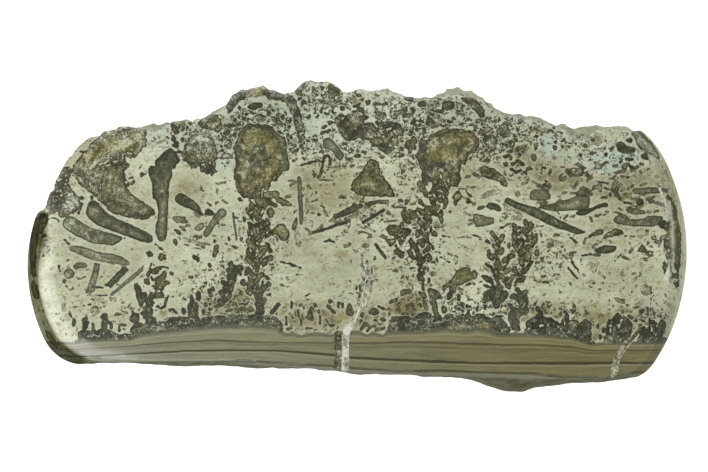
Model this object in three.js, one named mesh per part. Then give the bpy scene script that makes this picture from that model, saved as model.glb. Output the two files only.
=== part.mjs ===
// A cut and polished slab of landscape marble, a stromatolite limestone, lying on its sawn back.
//
// Frame: millimetres. +X runs along the slab, +Y from the laminated base of the growth towards its knobbly
// crust, and +Z up out of the polished face. The origin is the middle of the slab's box, on the sawn back.
//
// The slab is one stone, so it is one closed body. Its wall is a stack of rings. Every ring has the same
// number of points, one on each ray that leaves a straight spine in the middle of the slab, and a ring's
// shape is the distance to the wall along each ray.

import * as THREE from "three";
import { mergeVertices } from "three/addons/utils/BufferGeometryUtils.js";

// Driving dimensions
const THICKNESS = 22; // from the sawn back to the polished face
const WIDEST_AT = 9; // height above the back at which the ground ends stand out furthest
const SPINE_HALF = 42; // half the length of the spine that the rays leave
const SPINE_RADIUS = 30; // radius of the ends of the track on which the rays are spaced
const COLUMNS = 256; // rays round the slab
const WALL_STEPS = 13; // levels between the back and the edge of the face

// The polished face rolls over at its rim. Each ring is set in from the edge, with its share of the drop.
const ROLL_RINGS = [
  { inset: 0.7, drop: 0.5 },
  { inset: 1.8, drop: 0.18 },
  { inset: 4.2, drop: 0 },
];
const ROLL_DROP_LEFT = 1.1; // how far the rim drops at the left end
const ROLL_DROP_ELSEWHERE = 0.3;
const BACK_CHAMFER = 0.5; // worn arris round the sawn back

// Where the two ends are ground smooth, as angles round the ends of the spine, in degrees
const LEFT_GROUND = { from: 168, to: 233 };
const RIGHT_GROUND = { from: -55, to: 46 };
const GROUND_SOFTENING = 3; // degrees over which ground stone turns to natural stone

// How the wall goes from its widest level up to the face: 1 is straight, and more is rounder.
// The left end flares out in nearly a straight line, and the right end is rolled over.
const WALL_BULGE = { left: 1.2, right: 4.2, natural: 2 };
const RELIEF_FADE = 3; // the higher, the closer to the face the natural sides stay uneven

// The edge of the polished face, anticlockwise from the middle of its laminated base
const FACE_EDGE = [
  [0, -33.2], [16, -33.7], [32, -34.1], [48, -34.6], [60, -34.5], [66, -33.6], [69.3, -31.2],
  [72.2, -26.6], [74.3, -21], [75.6, -13], [75.8, -4], [75.4, 4], [74.6, 11], [72.6, 16.6],
  [70.2, 21.2], [68.2, 24.4], [66.2, 26], [62.5, 26.2], [58, 25.8], [54.6, 25.1], [51, 26], [46, 27.6],
  [41, 28.9], [37, 29.4], [34.8, 30.1], [32.6, 32.2], [29.6, 33.9], [26, 34.7], [21.4, 35], [19.4, 34.2],
  [17, 33.7], [14, 33.8], [10.6, 34.9], [5, 35.9], [0.5, 35.8], [-2.4, 35.4], [-4.6, 36.3], [-7, 37.9],
  [-9.4, 37.7], [-11.6, 38.1], [-14, 36.8], [-15.4, 34.6], [-17.4, 35.1], [-20.6, 36], [-24, 36.4],
  [-27.4, 35.9], [-30, 34.7], [-31.8, 32.3], [-33.6, 30.4], [-36.6, 29.8], [-38.2, 28.5], [-42, 28.5],
  [-45, 27.8], [-48, 26.5], [-51.6, 26.4], [-56, 26.8], [-60, 26.3], [-63.4, 24.9], [-67, 22.4],
  [-70.4, 18.4], [-72.8, 14], [-75, 9.2], [-75.9, 6.4], [-76.2, 1], [-76.9, -5], [-77.2, -11],
  [-76.2, -16], [-74.6, -20.8], [-71.8, -25.4], [-67.6, -28.6], [-62.6, -30.1], [-50, -30.5],
  [-36, -30.6], [-22, -31.3], [-10, -32.2],
];

// The slab's widest section, which stands out past the face at the ground ends and at the lump below it
const WIDEST = [
  [0, -34.4], [8.1, -34.5], [18.2, -34.8], [25.3, -35], [28.3, -35.6], [31.7, -37.1], [35.4, -38.3],
  [39.4, -38.6], [43.1, -38], [47.5, -36.9], [54.6, -36.3], [62.7, -35.7], [68.3, -34.7],
  [71.6, -32.5], [74, -28.9], [76.8, -23.7], [78.8, -18], [80.1, -12.1], [80.8, -5.1], [80.5, 2],
  [79.5, 7.7], [77.8, 13.1], [75.7, 18.4], [72.8, 22.9], [69.9, 25.8], [67.3, 27], [63.1, 27.6],
  [58.6, 27], [55.4, 26.2], [52.2, 27.3], [47.5, 28.7], [42.9, 30.2], [38.6, 30.5], [36, 30.9],
  [33.8, 33], [30.5, 35], [26.7, 36], [21.6, 36.2], [19.2, 35.3], [16.8, 34.6], [13.5, 34.8],
  [9.5, 35.9], [4, 36.5], [-2, 35.9], [-6.7, 37.4], [-10.5, 37.9], [-14.2, 36.3], [-16.4, 34.6],
  [-20.6, 35.8], [-25.3, 36.2], [-29.7, 34.7], [-33.4, 30.9], [-38.4, 29.3], [-45.5, 27.9],
  [-52.6, 26.5], [-58.6, 26.5], [-64.1, 24.7], [-68.7, 21.1], [-72.4, 15.8], [-75.4, 9.5],
  [-77.2, 8.5], [-78.6, 5.5], [-80.1, 0], [-80.8, -6.1], [-80.5, -12.1], [-79.4, -17.8],
  [-77.6, -23.2], [-75.2, -27.7], [-71.6, -30.5], [-67.1, -31.7], [-63.7, -31.3], [-50.5, -31.7],
  [-36.4, -32], [-22.2, -32.5], [-10.1, -33.2], [-4, -33.5],
];

// The sawn back: the crust and the base keep their level, but not their lumps
const BACK_EDGE = [
  [0, -33], [20, -33.7], [40, -35], [58, -34.4], [66.6, -32.8], [72.8, -27.4], [76.8, -18], [78.6, -6],
  [77.8, 5], [74.4, 15.4], [68.6, 23], [61, 27.2], [53, 28.6], [46, 26.8], [39, 28.2], [31, 33.4],
  [23, 33.6], [16, 31.2], [9, 33], [2, 36.2], [-6, 34.6], [-12, 31.4], [-19, 31.8], [-27, 34.8],
  [-35, 31.6], [-41, 27.6], [-49, 28.6], [-57, 26], [-65, 20.8], [-71.4, 13], [-75.6, 6.6],
  [-78.4, -4], [-78.2, -14], [-75.2, -23.6], [-69.6, -29], [-60, -30.4], [-40, -31], [-20, -31.8],
];

// Lumps of the knobbly crust: x along the slab, height above the back, radius and how far they stand out
const CRUST_LUMPS = [
  { x: -60, z: 8, radius: 7, height: 1.6 },
  { x: -50, z: 15, radius: 5, height: 1.1 },
  { x: -43, z: 7, radius: 5.5, height: 1.5 },
  { x: -34, z: 14, radius: 5, height: 1.2 },
  { x: -24, z: 8, radius: 7, height: 2 },
  { x: -13, z: 15, radius: 4.5, height: 0.7 },
  { x: -5, z: 6, radius: 6, height: 1.6 },
  { x: 6, z: 13, radius: 6, height: 1.3 },
  { x: 14, z: 5, radius: 5, height: 1.5 },
  { x: 25, z: 10, radius: 7, height: 1.7 },
  { x: 37, z: 6, radius: 5, height: 1.4 },
  { x: 45, z: 14, radius: 5.5, height: 1 },
  { x: 54, z: 7, radius: 6, height: 1.7 },
  { x: 63, z: 13, radius: 4.5, height: 0.8 },
];
const LUMP_DOME = 1.5; // 1 is a low dome with a sharp foot, and more runs out into the crust
// The grooves between the lumps, and the smaller pits all over the crust
const CRUST_GROOVES = { size: 7.5, depth: 1.1 };
const CRUST_PITS = { size: 3.1, depth: 0.4 };

// The base broke along its bedding, and left ledges that step in towards the back
const BASE_LEDGES = [
  { from: -60, to: -24, below: 8, step: 0.9 },
  { from: -16, to: 14, below: 13, step: 0.7 },
  { from: 8, to: 26, below: 6, step: 1 },
  { from: 50, to: 64, below: 9, step: 0.8 },
];
const LEDGE_WAVE = { length: 6, height: 1.5 }; // how a ledge's edge wanders
const BASE_ROUGHNESS = { size: 5, depth: 0.45 };

// Each use of the pattern of unevenness starts somewhere else in it
const PATTERN_START = { grooves: 7, pits: 20, base: 31, ledges: 3 };

const OUTLINE_SAMPLES = 900;
const DEGREES = 180 / Math.PI;

// Small helpers

const smoothstep = (x) => THREE.MathUtils.smoothstep(x, 0, 1);

// A repeatable number from 0 to 1 for each corner of a square grid
function cornerValue(i, j) {
  const wave = Math.sin(i * 127.1 + j * 311.7) * 43758.5453;
  return wave - Math.floor(wave);
}

// Smooth unevenness from -1 to 1, with features about one unit across
function unevenness(x, y) {
  const i = Math.floor(x);
  const j = Math.floor(y);
  const u = smoothstep(x - i);
  const v = smoothstep(y - j);
  const low = THREE.MathUtils.lerp(cornerValue(i, j), cornerValue(i + 1, j), u);
  const high = THREE.MathUtils.lerp(cornerValue(i, j + 1), cornerValue(i + 1, j + 1), u);
  return 2 * THREE.MathUtils.lerp(low, high, v) - 1;
}

// A smooth closed line through the points of an outline
function smoothOutline(points) {
  const corners = points.map(([x, y]) => new THREE.Vector3(x, y, 0));
  return new THREE.CatmullRomCurve3(corners, true, "centripetal").getPoints(OUTLINE_SAMPLES);
}

// One ray for each column: where it leaves the spine, its direction, and its angle at a ground end
function makeRays() {
  const straight = 2 * SPINE_HALF;
  const bend = Math.PI * SPINE_RADIUS;
  const track = 2 * (straight + bend);
  const rays = [];
  for (let column = 0; column < COLUMNS; column += 1) {
    const along = (column / COLUMNS) * track;
    if (along < straight) {
      rays.push({ x: -SPINE_HALF + along, angle: -Math.PI / 2 });
    } else if (along < straight + bend) {
      rays.push({ x: SPINE_HALF, angle: -Math.PI / 2 + (along - straight) / SPINE_RADIUS });
    } else if (along < 2 * straight + bend) {
      rays.push({ x: SPINE_HALF - (along - straight - bend), angle: Math.PI / 2 });
    } else {
      const turned = (along - 2 * straight - bend) / SPINE_RADIUS;
      rays.push({ x: -SPINE_HALF, angle: Math.PI / 2 + turned });
    }
  }
  return rays.map((ray) => ({ ...ray, dx: Math.cos(ray.angle), dy: Math.sin(ray.angle) }));
}

// How far the outline is from the spine along a ray
function reach(outline, ray) {
  let furthest = 0;
  for (let k = 0; k + 1 < outline.length; k += 1) {
    const a = outline[k];
    const b = outline[k + 1];
    const sideA = (a.x - ray.x) * ray.dy - a.y * ray.dx;
    const sideB = (b.x - ray.x) * ray.dy - b.y * ray.dx;
    if (sideA * sideB > 0 || sideA === sideB) {
      continue;
    }
    const share = sideA / (sideA - sideB);
    const x = a.x + (b.x - a.x) * share - ray.x;
    const y = a.y + (b.y - a.y) * share;
    furthest = Math.max(furthest, x * ray.dx + y * ray.dy);
  }
  return furthest;
}

// 1 well inside an arc of ground end, 0 outside it, with a short change between
function groundShare(ray, arc) {
  const middle = (arc.from + arc.to) / 2;
  const half = (arc.to - arc.from) / 2;
  const degrees = ray.angle * DEGREES;
  const away = Math.abs(((((degrees - middle) % 360) + 540) % 360) - 180);
  return THREE.MathUtils.clamp((half - away) / GROUND_SOFTENING, 0, 1);
}

// The wall

const rays = makeRays();
const faceOutline = smoothOutline(FACE_EDGE);
const widestOutline = smoothOutline(WIDEST);
const backOutline = smoothOutline(BACK_EDGE);
const columns = rays.map((ray) => {
  const left = ray.dx < 0 ? groundShare(ray, LEFT_GROUND) : 0;
  const right = ray.dx > 0 ? groundShare(ray, RIGHT_GROUND) : 0;
  return {
    ray,
    left,
    right,
    natural: 1 - Math.max(left, right),
    face: reach(faceOutline, ray),
    widest: reach(widestOutline, ray),
    back: reach(backOutline, ray),
  };
});

// How much the crust stands out or in at a place on the knobbly side
function crustRelief(x, z) {
  const { grooves, pits } = PATTERN_START;
  const groove = unevenness(x / CRUST_GROOVES.size, z / CRUST_GROOVES.size + grooves);
  const pit = unevenness(x / CRUST_PITS.size + pits, z / CRUST_PITS.size);
  let relief = CRUST_PITS.depth * pit - CRUST_GROOVES.depth * Math.abs(groove);
  for (const lump of CRUST_LUMPS) {
    const away = Math.hypot(x - lump.x, z - lump.z) / lump.radius;
    if (away < 1) {
      relief += lump.height * (1 - away * away) ** LUMP_DOME;
    }
  }
  return relief;
}

// How much the base stands out or in at a place on its broken side
function baseRelief(x, z) {
  const { size, depth } = BASE_ROUGHNESS;
  let relief = depth * unevenness(x / size, z / size + PATTERN_START.base);
  for (const ledge of BASE_LEDGES) {
    const wave = unevenness(x / LEDGE_WAVE.length + PATTERN_START.ledges, ledge.below);
    const edge = ledge.below + LEDGE_WAVE.height * wave;
    if (x > ledge.from && x < ledge.to && z < edge) {
      relief -= ledge.step;
    }
  }
  return relief;
}

// How much a natural side stands out or in, z above the back. It fades from 1 at the widest level.
function wallRelief(column, z, fade) {
  const x = column.ray.x + column.widest * column.ray.dx;
  const rough = column.ray.dy > 0 ? crustRelief(x, z) : baseRelief(x, z);
  return column.natural * rough * fade;
}

// The distance from the spine to the wall, z above the back
function wallReach(column, z) {
  const { left, right, natural, face, widest, back } = column;
  if (z < WIDEST_AT) {
    const towardsBack = (WIDEST_AT - z) / WIDEST_AT;
    const smooth = THREE.MathUtils.lerp(widest, back, smoothstep(towardsBack));
    return smooth + wallRelief(column, z, 1 - towardsBack);
  }
  const towardsFace = (z - WIDEST_AT) / (THICKNESS - WIDEST_AT);
  const bulge = WALL_BULGE.left * left + WALL_BULGE.right * right + WALL_BULGE.natural * natural;
  const smooth = THREE.MathUtils.lerp(widest, face, towardsFace ** bulge);
  return smooth + wallRelief(column, z, 1 - towardsFace ** RELIEF_FADE);
}

// A point on a column's ray, at a distance from the spine and a height
function placeOn(column, distance, z) {
  return [column.ray.x + distance * column.ray.dx, distance * column.ray.dy, z];
}

function rimDrop(column) {
  return THREE.MathUtils.lerp(ROLL_DROP_ELSEWHERE, ROLL_DROP_LEFT, column.left);
}

// The rings, from the back upwards and then in over the rim of the face
function makeRings() {
  const rings = [columns.map((c) => placeOn(c, wallReach(c, 0) - BACK_CHAMFER, 0))];
  for (let step = 0; step <= WALL_STEPS; step += 1) {
    const share = step / WALL_STEPS;
    rings.push(
      columns.map((c) => {
        const top = THICKNESS - rimDrop(c);
        const z = THREE.MathUtils.lerp(BACK_CHAMFER, top, share);
        return placeOn(c, step === WALL_STEPS ? c.face : wallReach(c, z), z);
      }),
    );
  }
  for (const { inset, drop } of ROLL_RINGS) {
    rings.push(columns.map((c) => placeOn(c, c.face - inset, THICKNESS - rimDrop(c) * drop)));
  }
  return rings;
}

// Joins ring to ring with triangles, and closes the two flat ends
function closeRings(rings) {
  const positions = rings.flat(2);
  const faces = [];
  for (let ring = 0; ring + 1 < rings.length; ring += 1) {
    for (let column = 0; column < COLUMNS; column += 1) {
      const next = (column + 1) % COLUMNS;
      const a = ring * COLUMNS + column;
      const b = ring * COLUMNS + next;
      const c = (ring + 1) * COLUMNS + next;
      const d = (ring + 1) * COLUMNS + column;
      faces.push(a, b, c, a, c, d);
    }
  }
  const flatEnd = (ring, facesUp) => {
    const outline = rings[ring].map(([x, y]) => new THREE.Vector2(x, y));
    for (const [a, b, c] of THREE.ShapeUtils.triangulateShape(outline, [])) {
      const first = ring * COLUMNS;
      const [second, third] = facesUp ? [b, c] : [c, b];
      faces.push(first + a, first + second, first + third);
    }
  };
  flatEnd(0, false);
  flatEnd(rings.length - 1, true);
  const geometry = new THREE.BufferGeometry();
  geometry.setAttribute("position", new THREE.Float32BufferAttribute(positions, 3));
  geometry.setIndex(faces);
  return geometry;
}

function makeSlab() {
  const geometry = mergeVertices(closeRings(makeRings()));
  // The outlines are drawn about a centre of their own, and the slab's box is then centred on the origin.
  geometry.computeBoundingBox();
  const middle = geometry.boundingBox.getCenter(new THREE.Vector3());
  geometry.translate(-middle.x, -middle.y, 0);
  geometry.computeVertexNormals();
  const stone = new THREE.MeshStandardMaterial({ color: "#a29d7f", roughness: 0.35, metalness: 0 });
  const slab = new THREE.Mesh(geometry, stone);
  slab.name = "stromatolite_slab";
  return slab;
}

const stromatolite = new THREE.Group();
stromatolite.add(makeSlab());

export default stromatolite;
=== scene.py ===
# %% [markdown]
# # A polished slab of landscape marble
#
# Landscape marble is a limestone that grew as a stromatolite. Mats of microbes laid down fine dark layers,
# then little trees and hedges of mud-trapping growth rose from them while pale lime mud settled in between.
# Cut across and polished, the growths look like a row of trees on a horizon.
#
# The slab lies on its sawn back and the camera looks down on its polished face. It is one stone, so it is one
# closed mesh. Everything drawn on it is only colour, so the drawing is kept as a few numbers at each vertex,
# and the material turns those numbers into stone.

# %% Load the measured solid
import math

import bmesh
import bpy
import numpy as np
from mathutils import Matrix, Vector, geometry
from mathutils.bvhtree import BVHTree


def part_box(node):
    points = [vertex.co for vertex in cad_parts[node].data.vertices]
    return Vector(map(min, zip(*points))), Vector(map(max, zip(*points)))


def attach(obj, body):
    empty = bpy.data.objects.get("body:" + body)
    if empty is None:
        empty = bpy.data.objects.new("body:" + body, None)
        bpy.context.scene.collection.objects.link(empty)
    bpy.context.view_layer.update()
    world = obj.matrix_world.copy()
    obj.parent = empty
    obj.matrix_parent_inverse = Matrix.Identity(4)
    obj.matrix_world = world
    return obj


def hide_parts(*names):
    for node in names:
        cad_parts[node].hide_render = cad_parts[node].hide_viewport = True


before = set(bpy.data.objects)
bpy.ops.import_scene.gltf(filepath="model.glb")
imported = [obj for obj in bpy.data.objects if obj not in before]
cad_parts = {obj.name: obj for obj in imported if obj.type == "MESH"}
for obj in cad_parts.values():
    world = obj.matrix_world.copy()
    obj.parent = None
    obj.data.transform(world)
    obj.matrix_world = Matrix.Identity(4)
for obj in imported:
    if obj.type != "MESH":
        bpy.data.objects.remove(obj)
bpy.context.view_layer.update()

MM = 0.001  # metres
slab_low, slab_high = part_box("stromatolite_slab")
FACE_Z = slab_high.z / MM
print("slab, mm:", [round(side / MM, 1) for side in slab_high - slab_low])

# %% [markdown]
# ## Camera
#
# A lens far above the middle of the face shows it square on, and still shows a little of the two ground ends,
# which flare out below the face. The width seen at the face sets the focal length.

# %% The camera above the face
CAMERA_RISE = 1200.0  # mm above the polished face
WIDTH_SEEN = 171.9  # mm of the face's plane across the picture
AIM = (-0.61, 0.12)  # mm, the middle of the picture on the face

camera_data = bpy.data.cameras.new("camera")
camera_data.sensor_width = 36.0
camera_data.lens = camera_data.sensor_width * CAMERA_RISE / WIDTH_SEEN
camera = bpy.data.objects.new("camera", camera_data)
camera.location = (AIM[0] * MM, AIM[1] * MM, (FACE_Z + CAMERA_RISE) * MM)
bpy.context.scene.collection.objects.link(camera)
bpy.context.scene.camera = camera
print("focal length, mm:", round(camera_data.lens, 1))

# %% [markdown]
# ## The wall of the slab
#
# The scene's own mesh is finer than the measured solid, and lies on the same surface. Rays leave a straight
# spine inside the slab, spread round it, and each measures how far away the solid's wall is. Averaging over
# neighbouring rays rounds off the solid's flat facets. Small chips and three hollows are then cut inwards.

# %% Rays from the spine to the wall
SPINE_HALF = 42.0  # mm from the middle of the spine to each end
TRACK_RADIUS = 30.0  # mm, the ends of the track on which the rays are spaced
COLUMNS = 736  # rays
LEFT_GROUND = (168.0, 233.0)  # degrees round the left end that are ground smooth
RIGHT_GROUND = (-55.0, 46.0)
SOFTENING = 3.0  # degrees over which ground stone turns to natural stone
ROLLED = (179.0, 250.0)  # degrees where the rim of the face is rolled down most
ROLL_SOFTENING = 14.0  # degrees over which the roll comes and goes

straight, bend = 2 * SPINE_HALF, math.pi * TRACK_RADIUS
along = np.arange(COLUMNS) / COLUMNS * 2 * (straight + bend)
turn_points = np.array([0, straight, straight + bend, 2 * straight + bend, 2 * (straight + bend)])
spine_x = np.interp(along, turn_points, [-SPINE_HALF, SPINE_HALF, SPINE_HALF, -SPINE_HALF, -SPINE_HALF])
angle = np.interp(along, turn_points, np.radians([-90, -90, 90, 90, 270]))
outward = np.stack([np.cos(angle), np.sin(angle)], axis=1)
on_crust = outward[:, 1] > 0


def smoothstep(low, high, value):
    """0 below low, 1 above high, and a smooth change between."""
    share = np.clip((value - low) / (high - low), 0, 1)
    return share * share * (3 - 2 * share)


def share_of(arc, softening):
    """1 on the rays inside an arc, and 0 outside it, with a soft change over so many degrees."""
    away = np.abs((np.degrees(angle) - sum(arc) / 2 + 180) % 360 - 180)
    return smoothstep(0, 1, ((arc[1] - arc[0]) / 2 - away) / softening)


left_ground = share_of(LEFT_GROUND, SOFTENING) * (outward[:, 0] < 0)
right_ground = share_of(RIGHT_GROUND, SOFTENING) * (outward[:, 0] > 0)
natural = 1 - np.maximum(left_ground, right_ground)
print("rays on natural stone:", int((natural > 0.5).sum()), "of", COLUMNS)

# %% Measure the solid's wall, level by level
ROLL_DROP_LEFT, ROLL_DROP_ELSEWHERE = 1.1, 0.3  # mm that the rim of the face drops
BACK_CHAMFER = 0.5  # mm, the worn edge round the sawn back
WALL_LEVELS = 27
JUST_INSIDE = 0.01  # mm, so that a ray never runs along the back or the rim
FACET_SPAN = 1.2  # mm along the wall over which facets are averaged away
DROP_SPAN = 4.0  # mm along the rim over which its drop changes
CRUST_NIBBLE, BASE_NIBBLE = 0.55, 0.12  # mm, the deepest chips out of the two natural edges
NIBBLED = (0.55, 0.95)  # where in the chance values a chip starts, and where it is deepest
HOLLOWS = ((54.6, 4.6, 1.6), (-49.0, 1.8, 0.9), (-63.0, 1.8, 0.9))  # x, half width and depth in the crust, mm

measured = bmesh.new()
measured.from_mesh(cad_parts["stromatolite_slab"].data)
bmesh.ops.remove_doubles(measured, verts=measured.verts, dist=1e-7)
solid = BVHTree.FromBMesh(measured)
measured.free()


def wall_reach(column, z):
    """How far the wall is from the spine along a ray, in mm, z mm above the back."""
    start = Vector((spine_x[column] * MM, 0, z * MM))
    hit = solid.ray_cast(start, Vector((*outward[column], 0)))
    return hit[3] / MM


def soften(rows, steps):
    """Averages neighbouring columns, round and round the wall."""
    for _ in range(steps):
        rows = (np.roll(rows, 1, axis=1) + 2 * rows + np.roll(rows, -1, axis=1)) / 4
    return rows


rolled = share_of(ROLLED, ROLL_SOFTENING) * (outward[:, 0] < 0)
rim_drop = ROLL_DROP_ELSEWHERE + (ROLL_DROP_LEFT - ROLL_DROP_ELSEWHERE) * rolled
column_gap = along[-1] / (COLUMNS - 1)
rim_drop = soften(rim_drop[None], round((DROP_SPAN / column_gap) ** 2))[0]
edge_z = FACE_Z - rim_drop
level_share = np.linspace(0, 1, WALL_LEVELS)[:, None]
level_z = BACK_CHAMFER + (edge_z - JUST_INSIDE - BACK_CHAMFER) * level_share
reach = np.array([[wall_reach(c, z) for c, z in enumerate(row)] for row in level_z])
back_reach = np.array([[wall_reach(c, JUST_INSIDE) for c in range(COLUMNS)]])
steps = round((FACET_SPAN / column_gap) ** 2)
reach, back_reach = soften(reach, steps), soften(back_reach, steps)
chance = np.random.default_rng(11)
nibbled = soften(chance.uniform(0, 1, (1, COLUMNS)), 2) + 0.4 * soften(chance.uniform(0, 1, reach.shape), 3)
nibble = np.where(on_crust, CRUST_NIBBLE, BASE_NIBBLE)
reach -= nibble * natural * smoothstep(*NIBBLED, nibbled)
for rows in (reach, back_reach):
    for middle, half, depth in HOLLOWS:
        away = np.abs(spine_x + rows * outward[:, 0] - middle)
        rows -= depth * smoothstep(half, 0, away) * (outward[:, 1] > 0.3)
wall_z = np.concatenate([np.zeros((1, COLUMNS)), level_z])
wall_reaches = np.concatenate([back_reach, reach])
wall_xy = np.stack([spine_x, np.zeros(COLUMNS)], axis=1) + wall_reaches[..., None] * outward
rim = wall_xy[-1]
print("wall measured at", reach.size, "places, rim length mm:",
      round(float(np.linalg.norm(np.roll(rim, -1, 0) - rim, axis=1).sum()), 1))

# %% [markdown]
# ## How the drawing is kept
#
# Each mark in the stone is an outline in millimetres: a patch, an angular chip, a rod or a round lobe. What
# is kept at a vertex is how far it is from the nearest outline, inside or out, with the tone of that mark. A
# distance changes smoothly, so it survives between vertices, and the material can draw a crisp edge, a dark
# rim and a rough outline from it at any size.

# %% Distances to outlines
REACH = 2.5  # mm outside a mark at which its distance stops counting
CORNER = 0.6  # mm, the most that is cut off each side of a corner at a time


def to_segments(points, line, closed):
    """Distance from each point to a line of segments."""
    start = line if closed else line[:-1]
    step = (np.roll(line, -1, axis=0) if closed else line[1:]) - start
    gap = points[:, None] - start
    length = np.maximum((step * step).sum(-1), 1e-9)
    share = np.clip((gap * step).sum(-1) / length, 0, 1)
    return np.sqrt((((gap - share[..., None] * step) ** 2).sum(-1)).min(1))


def within(points, outline):
    """True for the points inside a closed outline."""
    x, y = points[:, :1], points[:, 1:]
    ax, ay = outline.T
    bx, by = np.roll(outline, -1, axis=0).T
    rise = np.where(by == ay, 1e-9, by - ay)
    crossed = ((ay > y) != (by > y)) & (x < ax + (y - ay) / rise * (bx - ax))
    return crossed.sum(1) % 2 == 1


def in_batches(measure, points, size=20000):
    """Measures many points a batch at a time, so the tables stay small."""
    return np.concatenate([measure(points[k:k + size]) for k in range(0, len(points), size)])


def pairs(numbers):
    return np.array(numbers, float).reshape(-1, 2)


def round_corners(outline):
    """Cuts each corner of a closed outline twice, by a quarter of a side but only so many mm."""
    for _ in range(2):
        after = np.roll(outline, -1, axis=0)
        side = after - outline
        length = np.maximum(np.hypot(*side.T), 1e-9)[:, None]
        cut_off = np.minimum(0.25, CORNER / length) * side
        outline = np.stack([outline + cut_off, after - cut_off], 1).reshape(-1, 2)
    return outline


def chip(*numbers):
    """An angular mark: the corners of its outline."""
    outline = pairs(numbers)

    def depth(points):
        return to_segments(points, outline, True) * np.where(within(points, outline), 1, -1)

    return depth, outline.min(0), outline.max(0)


def patch(*numbers):
    """A mark with a smooth outline, through given corners."""
    return chip(*round_corners(pairs(numbers)).ravel())


def rod(width, *numbers):
    """A mark of one width along a line."""
    line = pairs(numbers)

    def depth(points):
        return width / 2 - to_segments(points, line, False)

    return depth, line.min(0) - width, line.max(0) + width


def lobe(x, y, across, up=None, turn=0.0):
    """A round or oval mark: its centre, its two half sizes, and its turn in degrees."""
    up = across if up is None else up
    cos, sin = math.cos(math.radians(turn)), math.sin(math.radians(turn))
    middle, size = np.array([x, y]), max(across, up)

    def depth(points):
        turned = (points - middle) @ np.array([[cos, -sin], [sin, cos]])
        return (1 - np.hypot(turned[:, 0] / across, turned[:, 1] / up)) * min(across, up)

    return depth, middle - size, middle + size

# %% [markdown]
# ## The marks, from left to right
#
# Three kinds of thing are drawn. Flakes of dried mud were torn up by a storm and lie at all angles. Growths
# are the dark trees, arches and hedges. Cuts are slips of pale mud inside a mark. Each mark has a tone: how
# light it is, how ochre, how dark its rim is, how many pale flecks it holds, and how ragged its edge is.

# %% Tones of the marks
TONES = {  # light, ochre, rim, flecks and ragged edge, each from 0 to 1
    "dark flake": (0.16, 0.25, 0.8, 0.08, 0.25),
    "flake": (0.42, 0.25, 0.75, 0.1, 0.25),
    "pale flake": (0.52, 0.3, 0.6, 0.1, 0.25),
    "faint flake": (0.7, 0.35, 0.15, 0.05, 0.4),
    "brown flake": (0.56, 0.9, 0.4, 0.05, 0.4),
    "growth": (0.3, 0.6, 0.9, 0.14, 0.5),
    "olive growth": (0.42, 0.75, 0.9, 0.15, 0.45),
    "dark growth": (0.1, 0.25, 0.6, 0.15, 0.5),
    "mottled growth": (0.38, 0.45, 0.8, 0.34, 0.7),
    "grey growth": (0.2, 0.2, 0.6, 0.2, 0.4),
    "hedge": (0.12, 0.1, 1.0, 0.3, 0.6),
    "crystal": (0.98, 0.0, 0.05, 0.0, 0.25),
    "clear crystal": (1.0, 0.0, 0.0, 0.0, 0.2),
    "vein wall": (0.2, 0.4, 0.2, 0.2, 0.8),
    "mottled spar": (0.66, 0.35, 0.5, 1.0, 0.8),
}
GAP = 0.16  # mm of mud between two marks drawn apart
marks = []


def draw(tone, *shapes):
    """Adds marks of one tone, over the ones before them."""
    marks.append(("mark", tone, shapes))


def cut(*shapes):
    """Cuts slips of pale mud out of the marks drawn so far."""
    marks.append(("cut", None, shapes))


def shade(light, ochre, soft, *shapes):
    """Changes the tone inside the marks drawn so far, softly over so many mm."""
    marks.append(("shade", (light, ochre, soft), shapes))


def apart(tone, *shapes):
    """Draws marks one over another, each with a thin gap of pale mud round it."""
    for measure, low, high in shapes:
        cut((lambda points, measure=measure: measure(points) + GAP, low - GAP, high + GAP))
        draw(tone, (measure, low, high))


def overlapping(tone, shapes):
    """Draws marks one over another, so only a thin dark line parts them."""
    for shape in shapes:
        draw(tone, shape)


THINNEST = 0.17  # mm, half of the thinnest flake
TILT = 32  # degrees, how much the flakes usually tilt


def litter(tone, seed, count, longest, *numbers):
    """Small angular flakes lying nearly flat, at chance places inside an outline."""
    chance = np.random.default_rng(seed)
    outline, shapes = pairs(numbers), []
    while len(shapes) < count:
        middle = chance.uniform(outline.min(0), outline.max(0))
        half = longest * chance.uniform(0.2, 0.5)
        thick, turn = max(THINNEST, half * chance.uniform(0.2, 0.5)), math.radians(chance.normal(0, TILT))
        if within(middle[None], outline)[0]:
            corners = np.array([(-1, -1), (0.8, -0.8), (1, 1), (-0.6, 0.9)]) * (half, thick)
            turned = corners @ np.array([[math.cos(turn), math.sin(turn)], [-math.sin(turn), math.cos(turn)]])
            shapes.append(chip(*(middle + turned).ravel()))
    draw(tone, *shapes)


def leaves(seed, step, length, width, *numbers):
    """Round-ended leaves that stand out upwards on both sides of a stem, given from its top down."""
    chance = np.random.default_rng(seed)
    line, shapes = pairs(numbers), []
    run = np.concatenate([[0], np.cumsum(np.hypot(*np.diff(line, axis=0).T))])
    for k, down in enumerate(np.arange(0, run[-1], step)):
        foot = np.array([np.interp(down, run, line[:, 0]), np.interp(down, run, line[:, 1])])
        rise, side = math.radians(chance.uniform(35, 75)), 1 if k % 2 else -1
        out = np.array([side * math.cos(rise), math.sin(rise)])
        reach = length * chance.uniform(0.6, 1.1)
        wide = width * chance.uniform(0.7, 1.15)
        shapes.append(rod(wide, *(foot + 0.3 * reach * out), *(foot + reach * out)))
    return shapes


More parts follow.
